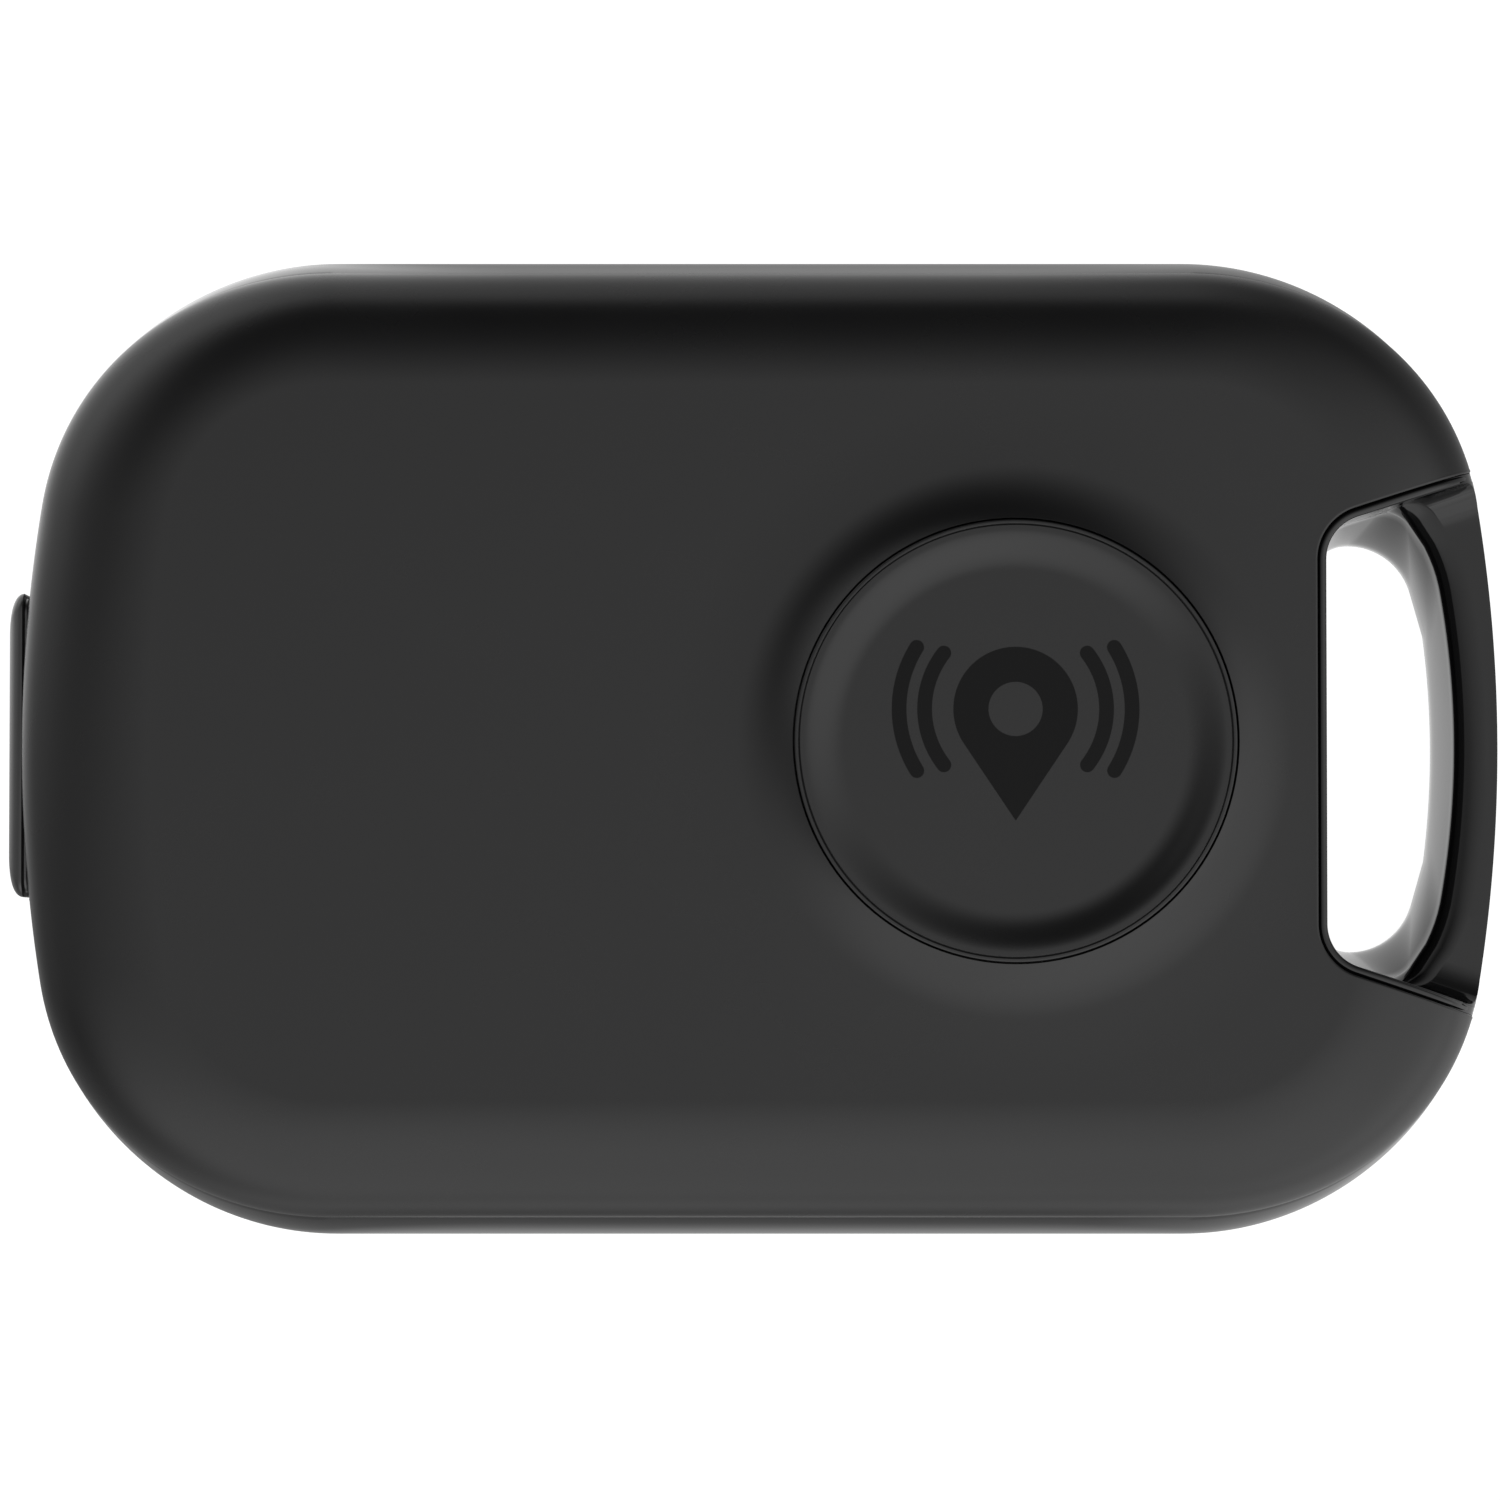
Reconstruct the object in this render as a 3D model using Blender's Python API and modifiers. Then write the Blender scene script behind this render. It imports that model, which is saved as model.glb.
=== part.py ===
"""Bluetooth tracker tag: a pocket-size tag with a push button, a key-ring slot and a covered charging port.

The origin is the centre of the flat back face. +Z points to the button side, +X to the key-ring slot.
All sizes below are in millimetres, and MM turns them into metres.
"""

import math

import bmesh
import bpy
from mathutils import Vector

MM = 0.001
GAP = 0.1  # clearance between pieces that meet

# Plan outline of the housing at its widest level: two bowed ends, four corner arcs, two straight sides
HALF_LENGTH = 23.65
HALF_WIDTH = 15.68
CORNER_R = 9.54
END_R = 47.9
CORNER_STEPS = 12
END_STEPS = 4

# Heights of the housing
FLOOR_Z = 1.0
WIDEST_Z = 1.0
SEAM_Z = 4.6
CEILING_Z = 6.3
FIELD_Z = 7.4

# Side profile, as insets from the widest outline. The seam lies further in on the long sides than at the ends
BACK_INSET = 1.2
SEAM_INSET = 0.19
SEAM_SIDE_INSET = 0.48
SEAM_SIDE_POWER = 3
FIELD_INSET = 4.4
BACK_STEPS = 4
BULGE_STEPS = 4
EDGE_STEPS = 8

# Joint between the shells: a tongue on the tray inside the lid's skirt, with the gasket on top
CAVITY_INSET = 1.7
CAVITY_END_X = 16.3
TONGUE_T = 0.45
TONGUE_TOP_Z = 5.1
SKIRT_INSET = 1.15
STEP_Z = 5.55
STEP_INSET = 1.9
INNER_FIELD_INSET = 4.6
SEAL_T = 0.4
SEAL_GAP = 0.07

# Snap hooks of the lid and their pockets in the long walls
HOOK_X = (-10.0, 8.0)
HOOK_HALF_LENGTH = 1.8
HOOK_T = 0.6
HOOK_FOOT_Z = 3.15
BARB_H = 0.45
BARB_REACH = 0.3
POCKET_DEPTH = 0.45
POCKET_Z = (3.0, 3.75)

# Key-ring slot, the bar beyond it and the lined notch round it
SLOT_X = 17.8
BAR_INNER_X = 22.0
BAR_INNER_R = 28.0
BAR_FLARE_Y = 4.9
BAR_FLARE = 0.1
NOTCH_Y = 6.74
NOTCH_SLOPE = 0.329
NOTCH_R = 1.4
LINER_T = 0.45
LINER_DROP = 0.3
SLOT_BAR_R = 0.4
SLOT_BACK_Y = 6.6
SLOT_BACK_R = (1.3, 2.1)
SLOT_DRAFT_Z = (0.8, 4.4)

# Button
BUTTON_X = 8.0
HOLE_R = 6.98
MOUND_R = 10.5
MOUND_REACH = 10.9
MOUND_H = 0.6
MOUND_POWER = 2.2
GUIDE_R = (8.0, 8.7)
CAP_R = 6.8
CAP_FLAT_R = 5.4
CAP_DISH = 0.28
CAP_FLANGE_R = 7.6
CAP_FLANGE_Z = (5.75, 6.15)
CAP_HOLLOW_R = 6.0
CAP_HOLLOW_Z = 6.7
CAP_POST_R = 1.6
CAP_POST_Z = 5.5

# Circuit board and the screws that hold it on the tray's posts
PCB_Z = (2.2, 3.0)
PCB_INSET = 2.1
PCB_END_X = 15.9
PCB_SCREWS = [(-17.0, 10.9), (-17.0, -10.9), (11.5, 12.0), (11.5, -12.0)]
POST_R = 1.5
POST_HOLE_R = 0.6
POST_HOLE_Z = 0.6
SCREW_HEAD_R = 1.0
SCREW_HEAD_H = 0.45
SCREW_SHANK_R = 0.5
SCREW_TIP_Z = 0.75
BOARD_HOLE_R = 0.7

# Tactile switch under the button's boot
SWITCH_HALF = 1.8
SWITCH_Z = (3.08, 3.85)
WELL_R = 1.5
WELL_Z = 3.35
FRAME_Z = (3.93, 4.08)
FRAME_HOLE_R = 1.0
PLUNGER_R = 0.85
PLUNGER_Z = (3.87, 4.55)
DOME_T = 0.06

# Charging port and its cover, on the end opposite the slot
PORT_Z = 2.75
PORT_HALF_W = 3.72
PORT_HALF_H = 1.23
PORT_FOOT_HALF_W = 2.95
PORT_WALL = 0.28
PORT_X = (-22.3, -17.3)
PORT_HOLE = (4.1, 1.45)
COVER_Y = 4.85
COVER_FACE_Y = 3.95
COVER_FACE_X = -24.06
COVER_EDGE_X = -23.71
COVER_BACK_X = -23.2
COVER_HALF_H = 1.5
PLUG_HALF = (3.9, 1.3)
PLUG_END_X = -22.5
HINGE_Y = -4.95
STRAP_Z = (2.15, 3.35)
STRAP_SLIT_HALF_H = 0.7

# Battery
CELL_X = (-14.4, -1.6)
CELL_Y = (-10.8, 8.6)
CELL_Z = (3.4, 5.9)
CELL_BOARD_X = (-12.9, -3.1)
CELL_BOARD_Y = (8.75, 10.9)
CELL_BOARD_Z = (3.9, 4.6)
TAPE_X = (-12.9, -3.1)
TAPE_Y = (-8.8, 6.6)
TAPE_Z = (3.08, 3.32)
LEAD_R = 0.22
LEAD_X = (-6.2, -4.6)

# Sounder
PIEZO_X = -8.0
PIEZO_R = 8.9
PIEZO_CERAMIC_R = 6.2
PIEZO_Z = (1.3, 1.5)
CERAMIC_Z = (1.55, 1.7)
RIB_R = (8.4, 9.0)
RIB_TOP_Z = 1.2
RIB_STEPS = 48


# ---------------------------------------------------------------- scene and helpers


def clear_scene():
    for item in list(bpy.data.objects):
        bpy.data.objects.remove(item)


def collection(name):
    made = bpy.data.collections.get(name) or bpy.data.collections.new(name)
    if name not in bpy.context.scene.collection.children:
        bpy.context.scene.collection.children.link(made)
    return made


def material(name, colour, roughness, metallic=0.0):
    made = bpy.data.materials.get(name) or bpy.data.materials.new(name)
    made.use_nodes = True
    shader = made.node_tree.nodes["Principled BSDF"]
    shader.inputs["Base Color"].default_value = (*colour, 1.0)
    shader.inputs["Roughness"].default_value = roughness
    shader.inputs["Metallic"].default_value = metallic
    made.diffuse_color = (*colour, 1.0)
    return made


def adopt(item, look):
    """Files an object: with a look it is a piece of the tag, without one it is a cutter."""
    for old in item.users_collection:
        old.objects.unlink(item)
    if look:
        item.data.materials.append(look)
        collection("tracker_tag").objects.link(item)
    else:
        item.hide_render = True
        item.display_type = "WIRE"
        collection("cutters").objects.link(item)
    return item


def smooth(item, angle=35):
    item.data.shade_smooth()
    item.data.set_sharp_from_angle(angle=math.radians(angle))


def from_bmesh(name, bm, look):
    mesh = bpy.data.meshes.new(name)
    bm.to_mesh(mesh)
    bm.free()
    return adopt(bpy.data.objects.new(name, mesh), look)


def add_loops(bm, rings):
    """One loop of vertices for each (points, z) in mm."""
    return [[bm.verts.new((x * MM, y * MM, z * MM)) for x, y in points] for points, z in rings]


def bridge(bm, first, second):
    """A band of quads between two loops."""
    for i in range(len(first)):
        j = (i + 1) % len(first)
        bm.faces.new((first[i], first[j], second[j], second[i]))


def loft(name, rings, look=None):
    """A closed solid through rings of equal point counts. Each ring is (points, z) in mm, lowest first."""
    bm = bmesh.new()
    loops = add_loops(bm, rings)
    for low, high in zip(loops, loops[1:]):
        bridge(bm, low, high)
    bm.faces.new(reversed(loops[0]))
    bm.faces.new(loops[-1])
    made = from_bmesh(name, bm, look)
    smooth(made)
    return made


def prism(name, points, z_low, z_high, look=None):
    return loft(name, [(points, z_low), (points, z_high)], look)


def ring_prism(name, outer, inner, z_low, z_high, look=None):
    """A closed band between two outlines of equal point counts."""
    bm = bmesh.new()
    loops = add_loops(bm, [(outer, z_low), (outer, z_high), (inner, z_high), (inner, z_low)])
    for first, second in zip(loops, loops[1:] + loops[:1]):
        bridge(bm, first, second)
    made = from_bmesh(name, bm, look)
    smooth(made)
    return made


def box(name, x, y, z, look=None, bevel=0.0):
    """A block. x, y and z are (low, high) in mm."""
    bpy.ops.mesh.primitive_cube_add(size=1)
    made = bpy.context.object
    made.name = name
    size = [(high - low) * MM for low, high in (x, y, z)]
    for vertex in made.data.vertices:
        vertex.co = Vector([c * s for c, s in zip(vertex.co, size)])
    made.location = [(low + high) / 2 * MM for low, high in (x, y, z)]
    adopt(made, look)
    if bevel:
        add_bevel(made, bevel)
    return made


def span(centre, half):
    return (centre - half, centre + half)


def cylinder(name, x, y, radius, z_low, z_high, look=None, sides=24):
    bpy.ops.mesh.primitive_cylinder_add(
        vertices=sides,
        radius=radius * MM,
        depth=(z_high - z_low) * MM,
        location=(x * MM, y * MM, (z_low + z_high) / 2 * MM),
    )
    made = bpy.context.object
    made.name = name
    adopt(made, look)
    smooth(made)
    return made


def turned(name, profile, x, y, look=None, steps=48):
    """A solid turned about a vertical axis. The profile is (radius, z) in mm, down the outer side first."""
    points = [(r * MM, 0.0, z * MM) for r, z in profile]
    edges = [(i, i + 1) for i in range(len(points) - 1)]
    mesh = bpy.data.meshes.new(name)
    mesh.from_pydata(points, edges, [])
    made = adopt(bpy.data.objects.new(name, mesh), look)
    made.location = (x * MM, y * MM, 0.0)
    screw = made.modifiers.new("Turn", "SCREW")
    screw.steps = steps
    screw.render_steps = steps
    screw.use_merge_vertices = True
    screw.merge_threshold = 0.000001
    return made


def strip(name, path, width, thickness, look):
    """A bent sheet-metal strip across Y = 0: the path is (x, z) in mm, thickened to both sides."""
    bm = bmesh.new()
    low = [bm.verts.new((x * MM, -width / 2 * MM, z * MM)) for x, z in path]
    high = [bm.verts.new((x * MM, width / 2 * MM, z * MM)) for x, z in path]
    for i in range(len(path) - 1):
        bm.faces.new((low[i], low[i + 1], high[i + 1], high[i]))
    made = from_bmesh(name, bm, look)
    sheet = made.modifiers.new("Sheet", "SOLIDIFY")
    sheet.thickness = thickness * MM
    sheet.offset = 0.0
    return made


def wire(name, points, radius, look):
    """A round lead through points in mm."""
    curve = bpy.data.curves.new(name, "CURVE")
    curve.dimensions = "3D"
    curve.bevel_depth = radius * MM
    curve.bevel_resolution = 2
    curve.use_fill_caps = True
    spline = curve.splines.new("POLY")
    spline.points.add(len(points) - 1)
    for target, (x, y, z) in zip(spline.points, points):
        target.co = (x * MM, y * MM, z * MM, 1.0)
    return adopt(bpy.data.objects.new(name, curve), look)


def add_bevel(item, width, segments=2):
    bevel = item.modifiers.new("Edges", "BEVEL")
    bevel.width = width * MM
    bevel.segments = segments
    bevel.limit_method = "ANGLE"


def boolean(item, other, operation):
    step = item.modifiers.new(operation.title(), "BOOLEAN")
    step.operation = operation
    step.solver = "EXACT"
    step.object = other


def cut(item, tool):
    boolean(item, tool, "DIFFERENCE")


def join(item, tool):
    boolean(item, tool, "UNION")


# ---------------------------------------------------------------- outlines


def arc(centre, radius, start, end, steps):
    """Points along an arc, both ends included. Angles in degrees."""
    turn = [math.radians(start + (end - start) * i / steps) for i in range(steps + 1)]
    return [(centre[0] + radius * math.cos(a), centre[1] + radius * math.sin(a)) for a in turn]


def circle(x, radius, steps=RIB_STEPS):
    """Points round an axis on the X axis."""
    return arc((x, 0), radius, 0, 360 - 360 / steps, steps - 1)


def offset_arc(centre, radius, start, end, steps, inset, side_inset):
    """A quarter's arc moved inward, by inset everywhere and by side_inset more where it faces along Y."""
    points = []
    for i in range(steps + 1):
        a = math.radians(start + (end - start) * i / steps)
        reach = radius - inset - side_inset * math.sin(a) ** SEAM_SIDE_POWER
        points.append((centre[0] + reach * math.cos(a), centre[1] + reach * math.sin(a)))
    return points


def outline(inset, x_limit=None, side_inset=0.0):
    """The housing's plan outline moved inward, counter-clockwise from the right end, cut off at x_limit."""
    end_centre = HALF_LENGTH - END_R
    corner_y = HALF_WIDTH - CORNER_R
    reach = END_R - CORNER_R
    corner_x = end_centre + math.sqrt(reach**2 - corner_y**2)
    sweep = math.degrees(math.asin(corner_y / reach))
    quarter = offset_arc((end_centre, 0), END_R, 0, sweep, END_STEPS, inset, side_inset)
    quarter += offset_arc((corner_x, corner_y), CORNER_R, sweep, 90, CORNER_STEPS, inset, side_inset)[1:]
    points = quarter + [(-x, y) for x, y in reversed(quarter)]
    points += [(-x, -y) for x, y in quarter[1:]]
    points += [(x, -y) for x, y in reversed(quarter[1:])]
    if x_limit is not None:
        points = [(min(x, x_limit), y) for x, y in points]
    return points


def bar_inner_x(y):
    """Inner face of the key-ring bar: bowed, and flaring towards its ends."""
    bow = BAR_INNER_R - math.sqrt(BAR_INNER_R**2 - y**2)
    return BAR_INNER_X - bow - BAR_FLARE * max(abs(y) - BAR_FLARE_Y, 0.0) ** 2


def rounded(before, corner, after, radius, steps):
    """A polygon's corner as an arc of that radius."""
    corner = Vector(corner)
    to_before = (Vector(before) - corner).normalized()
    to_after = (Vector(after) - corner).normalized()
    half = to_before.angle(to_after) / 2
    start = corner + to_before * radius / math.tan(half)
    end = corner + to_after * radius / math.tan(half)
    centre = corner + (to_before + to_after).normalized() * radius / math.sin(half)
    first = start - centre
    turn = -first.angle_signed(end - centre)
    points = []
    for i in range(steps + 1):
        a = turn * i / steps
        x = centre.x + first.x * math.cos(a) - first.y * math.sin(a)
        y = centre.y + first.x * math.sin(a) + first.y * math.cos(a)
        points.append((x, y))
    return points


def mirrored(half):
    """A whole outline, counter-clockwise, from its clockwise upper half that ends on the X axis."""
    loop = half + [(x, -y) for x, y in reversed(half[:-1])]
    return list(reversed(loop))


def slot_outline(end_y, end_slope, inner_r, outer_r):
    """The key-ring slot: straight inner side, ends at end_y with a slope, outer side along the bar."""
    inner = (SLOT_X, end_y)
    outer_y = end_y
    for _ in range(5):
        outer_y = end_y + end_slope * (bar_inner_x(outer_y) - SLOT_X)
    outer = (bar_inner_x(outer_y), outer_y)
    bar_y = outer_y - 1.4 * outer_r
    half = rounded((SLOT_X, 0), inner, outer, inner_r, 5)
    half += rounded(inner, outer, (bar_inner_x(bar_y), bar_y), outer_r, 5)
    half += [(bar_inner_x(bar_y * i / 5), bar_y * i / 5) for i in (5, 4, 3, 2, 1, 0)]
    return mirrored(half)


def notch_outline(offset):
    """The top shell's notch, moved outward by offset and open past the housing's end."""
    run = math.hypot(1, NOTCH_SLOPE)
    x = SLOT_X - offset
    corner_y = NOTCH_Y + offset * (run - NOTCH_SLOPE)
    far_x = HALF_LENGTH + 4
    far = (far_x, corner_y + NOTCH_SLOPE * (far_x - x))
    return mirrored(rounded((x, 0), (x, corner_y), far, NOTCH_R + offset, 6) + [far, (far_x, 0)])


# ---------------------------------------------------------------- housing


def tray_rings():
    """The bottom shell's outside: rounded back edge, bulging side, up to the seam."""
    rings = []
    for i in range(BACK_STEPS + 1):
        a = math.radians(90 * i / BACK_STEPS)
        rings.append((outline(BACK_INSET * (1 - math.sin(a))), WIDEST_Z * (1 - math.cos(a))))
    for i in range(1, BULGE_STEPS + 1):
        share = i / BULGE_STEPS
        points = outline(SEAM_INSET * share**2, side_inset=SEAM_SIDE_INSET * share**2)
        rings.append((points, WIDEST_Z + (SEAM_Z - WIDEST_Z) * share))
    return rings


def lid_rings(drop=0.0):
    """The top shell's outside: a wide soft edge from the seam up to the flat field."""
    rings = []
    seam = SEAM_Z + GAP
    for i in range(EDGE_STEPS + 1):
        a = math.radians(90 * i / EDGE_STEPS)
        inset = FIELD_INSET - (FIELD_INSET - SEAM_INSET) * math.cos(a)
        points = outline(inset, side_inset=SEAM_SIDE_INSET * math.cos(a))
        rings.append((points, seam + (FIELD_Z - seam) * math.sin(a) - drop))
    return rings


def slot_liner():
    """The wall that lines the notch, a little lower than the lid round it."""
    plan = notch_outline(LINER_T)
    liner = prism("slot_liner", plan, WIDEST_Z, FIELD_Z)
    below_lid = [(lid_rings()[0][0], WIDEST_Z)] + lid_rings(LINER_DROP)[1:]
    boolean(liner, loft("liner_top", below_lid), "INTERSECT")
    cut(liner, prism("bar_room", notch_outline(0), SEAM_Z, FIELD_Z + 1))
    return liner


def slot_cutter():
    """The key-ring slot, whose ends lean out towards the button side."""
    back = slot_outline(SLOT_BACK_Y, 0.0, *SLOT_BACK_R)
    front = slot_outline(NOTCH_Y, NOTCH_SLOPE, NOTCH_R, SLOT_BAR_R)
    low, high = SLOT_DRAFT_Z
    return loft("slot", [(back, -1), (back, low), (front, high), (front, FIELD_Z + 1)])


def wall_span(y, depth_in, depth_out):
    """A (low, high) pair in Y at a long wall: from depth_in inside the face to depth_out beyond it."""
    side = math.copysign(1, y)
    return tuple(sorted((y - side * depth_in, y + side * depth_out)))


def hook_places():
    """Name, X and inner wall face Y of each snap hook."""
    wall = HALF_WIDTH - CAVITY_INSET
    places = [(x, y) for y in (wall, -wall) for x in HOOK_X]
    return [(f"hook_{number}", x, y) for number, (x, y) in enumerate(places, 1)]


def make_bottom_shell(gloss):
    shell = loft("bottom_shell", tray_rings(), gloss)
    cavity = outline(CAVITY_INSET, CAVITY_END_X)
    cut(shell, prism("tray_cavity", cavity, FLOOR_Z, SEAM_Z + 1))

    tongue = outline(CAVITY_INSET - TONGUE_T, CAVITY_END_X + TONGUE_T)
    join(shell, ring_prism("tray_tongue", tongue, cavity, SEAM_Z - 0.5, TONGUE_TOP_Z))
    join(shell, slot_liner())
    cut(shell, slot_cutter())

    for number, (x, y) in enumerate(PCB_SCREWS, 1):
        post_top = PCB_Z[0] - GAP
        join(shell, cylinder(f"post_{number}", x, y, POST_R, FLOOR_Z - 0.3, post_top, sides=16))
        cut(shell, cylinder(f"post_hole_{number}", x, y, POST_HOLE_R, POST_HOLE_Z, PCB_Z[1], sides=12))

    inner, outer = (circle(PIEZO_X, radius) for radius in RIB_R)
    join(shell, ring_prism("piezo_rib", outer, inner, FLOOR_Z - 0.2, RIB_TOP_Z))

    recess_y = (HINGE_Y - 0.75, COVER_Y + GAP)
    recess_x = (-HALF_LENGTH - 1, COVER_BACK_X + GAP)
    cut(shell, box("port_recess", recess_x, recess_y, span(PORT_Z, COVER_HALF_H + GAP), bevel=0.25))
    hole_x = (-HALF_LENGTH, -HALF_LENGTH + 3)
    cut(shell, box("port_hole", hole_x, span(0, PORT_HOLE[0]), span(PORT_Z, PORT_HOLE[1]), bevel=0.4))
    slit_y = (HINGE_Y - 0.65, HINGE_Y - 0.05)
    cut(shell, box("strap_slit", hole_x, slit_y, span(PORT_Z, STRAP_SLIT_HALF_H)))

    for name, x, y in hook_places():
        pocket_y = wall_span(y, GAP, POCKET_DEPTH)
        cut(shell, box(f"{name}_pocket", span(x, HOOK_HALF_LENGTH + 0.4), pocket_y, POCKET_Z))
    return shell


def lid_cavity_rings():
    """The lid's hollow: up past the step, then a soft inner edge to the ceiling."""
    end_x = CAVITY_END_X - 2 * GAP
    rings = [(outline(STEP_INSET, end_x), STEP_Z - 0.3)]
    base = STEP_Z + 0.02
    for i in range(5):
        a = math.radians(90 * i / 4)
        inset = INNER_FIELD_INSET - (INNER_FIELD_INSET - STEP_INSET) * math.cos(a)
        rings.append((outline(inset, end_x), base + (CEILING_Z - base) * math.sin(a)))
    return rings


def mound_height(radius):
    """Height of the raised ground round the button above the flat field."""
    share = min(max((radius - HOLE_R) / (MOUND_REACH - HOLE_R), 0.0), 1.0)
    return MOUND_H * (1 - share) ** MOUND_POWER


def mound_profile():
    """Turned section of the mound, sunk a little into the lid."""
    base = FIELD_Z - 0.4
    radii = [HOLE_R + (MOUND_R - HOLE_R) * i / 8 for i in range(9)]
    top = [(radius, FIELD_Z + mound_height(radius)) for radius in radii]
    return [(0.0, FIELD_Z + MOUND_H)] + top + [(MOUND_R, base), (0.0, base)]


def make_top_shell(satin):
    shell = loft("top_shell", lid_rings(), satin)
    cut(shell, prism("lid_skirt", outline(SKIRT_INSET, CAVITY_END_X + 0.55), SEAM_Z - 1, STEP_Z))
    cut(shell, loft("lid_cavity", lid_cavity_rings()))

    join(shell, turned("button_mound", mound_profile(), BUTTON_X, 0))
    inner, outer = (circle(BUTTON_X, radius) for radius in GUIDE_R)
    join(shell, ring_prism("button_guide", outer, inner, STEP_Z + 0.05, CEILING_Z + 0.2))
    cut(shell, cylinder("button_hole", BUTTON_X, 0, HOLE_R, CEILING_Z - 1, FIELD_Z + 2, sides=48))
    cut(shell, prism("notch", notch_outline(LINER_T + GAP), SEAM_Z - 1, FIELD_Z + 1))

    barb_z = (HOOK_FOOT_Z, HOOK_FOOT_Z + BARB_H)
    for name, x, y in hook_places():
        length = span(x, HOOK_HALF_LENGTH)
        stem_y = wall_span(y, HOOK_T + GAP, -GAP)
        barb_y = wall_span(y, HOOK_T + GAP, BARB_REACH)
        join(shell, box(name, length, stem_y, (HOOK_FOOT_Z, CEILING_Z - 0.2)))
        join(shell, box(f"{name}_barb", length, barb_y, barb_z))
    return shell


def make_perimeter_seal(rubber):
    outer = outline(SKIRT_INSET + GAP, CAVITY_END_X + 0.45)
    inner = outline(SKIRT_INSET + GAP + SEAL_T, CAVITY_END_X + 0.45 - SEAL_T)
    return ring_prism("perimeter_seal", outer, inner, TONGUE_TOP_Z + SEAL_GAP, STEP_Z - SEAL_GAP, rubber)


# ---------------------------------------------------------------- button and switch


def make_button_cap(satin):
    flat_z = FIELD_Z + MOUND_H - CAP_DISH
    edge_r = CAP_R - 0.1
    profile = [(0.0, flat_z), (CAP_FLAT_R, flat_z)]
    for i in range(1, 5):
        share = i / 4
        profile.append((CAP_FLAT_R + (edge_r - CAP_FLAT_R) * share, flat_z + CAP_DISH * share**2))
    foot, shoulder = CAP_FLANGE_Z
    profile += [(CAP_R, FIELD_Z + MOUND_H - 0.1), (CAP_R, shoulder), (CAP_FLANGE_R, shoulder)]
    profile += [(CAP_FLANGE_R, foot), (CAP_HOLLOW_R, foot), (CAP_HOLLOW_R, CAP_HOLLOW_Z)]
    profile += [(CAP_POST_R, CAP_HOLLOW_Z), (CAP_POST_R, CAP_POST_Z), (0.0, CAP_POST_Z)]
    return turned("button_cap", profile, BUTTON_X, 0, satin)


def make_button_boot(silicone):
    """A rubber dome over the switch: foot on the board, cone, and a boss under the cap's post."""
    outside = [(0.0, 5.4), (2.3, 5.4), (2.4, 4.95), (4.5, 3.6), (5.6, 3.6), (5.6, 3.1)]
    inside = [(4.6, 3.1), (4.3, 3.35), (2.2, 4.65), (0.0, 4.65)]
    return turned("button_boot", outside + inside, BUTTON_X, 0, silicone, steps=32)


def make_switch(plastic, steel, white):
    x, y = span(BUTTON_X, SWITCH_HALF), span(0, SWITCH_HALF)
    base = box("switch_base", x, y, SWITCH_Z, plastic)
    cut(base, cylinder("switch_well", BUTTON_X, 0, WELL_R, WELL_Z, SWITCH_Z[1] + 1))
    frame = box("switch_frame", x, y, FRAME_Z, steel)
    cut(frame, cylinder("frame_hole", BUTTON_X, 0, FRAME_HOLE_R, FRAME_Z[0] - 1, FRAME_Z[1] + 1))

    dome_top = [(0.0, 3.72), (0.5, 3.69), (1.0, 3.58), (1.35, 3.42)]
    dome_under = [(r, z - DOME_T) for r, z in reversed(dome_top)]
    turned("switch_dome", dome_top + dome_under, BUTTON_X, 0, steel, steps=24)

    low, high = PLUNGER_Z
    profile = [(0.0, high), (PLUNGER_R, high), (PLUNGER_R, low), (0.0, low)]
    turned("switch_plunger", profile, BUTTON_X, 0, white, steps=24)


# ---------------------------------------------------------------- circuit board and its parts


def make_pcb(mask):
    board = prism("pcb", outline(PCB_INSET, PCB_END_X), *PCB_Z, mask)
    cut(board, box("port_cutout", (-HALF_LENGTH, PORT_X[1] + 0.15), span(0, 3.9), (0, SEAM_Z)))
    for number, (x, y) in enumerate(PCB_SCREWS, 1):
        cut(board, cylinder(f"board_hole_{number}", x, y, BOARD_HOLE_R, 1, SEAM_Z, sides=16))
    return board


def make_pcb_screws(steel):
    head_z = PCB_Z[1] + 0.05
    top = head_z + SCREW_HEAD_H
    profile = [(0.0, top), (SCREW_HEAD_R - 0.2, top), (SCREW_HEAD_R, top - 0.15), (SCREW_HEAD_R, head_z)]
    profile += [(SCREW_SHANK_R, head_z), (SCREW_SHANK_R, SCREW_TIP_Z + 0.25)]
    profile += [(SCREW_SHANK_R - 0.2, SCREW_TIP_Z), (0.0, SCREW_TIP_Z)]
    for number, (x, y) in enumerate(PCB_SCREWS, 1):
        turned(f"pcb_screw_{number}", profile, x, y, steel, steps=16)


def make_chips(plastic, metal, ceramic, clear):
    """Surface-mounted parts: name, centre, size and finish."""
    foot = PCB_Z[1] + 0.08
    parts = [
        ("bluetooth_soc", (3.0, 10.6), (5.0, 5.0, 0.85), plastic),
        ("crystal_main", (-1.2, 11.9), (1.6, 2.0, 0.5), metal),
        ("crystal_rtc", (7.6, 11.2), (1.5, 3.2, 0.75), metal),
        ("chip_antenna", (14.6, -8.6), (1.6, 7.0, 1.0), ceramic),
        ("charger_ic", (-18.2, 7.0), (3.0, 3.0, 0.9), plastic),
        ("charge_inductor", (-18.2, -7.0), (2.5, 2.5, 1.2), ceramic),
        ("status_led", (-20.4, 4.9), (0.8, 1.4, 0.6), clear),
    ]
    for name, (x, y), (long_x, long_y, high), look in parts:
        box(name, span(x, long_x / 2), span(y, long_y / 2), (foot, foot + high), look, bevel=0.06)


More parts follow.
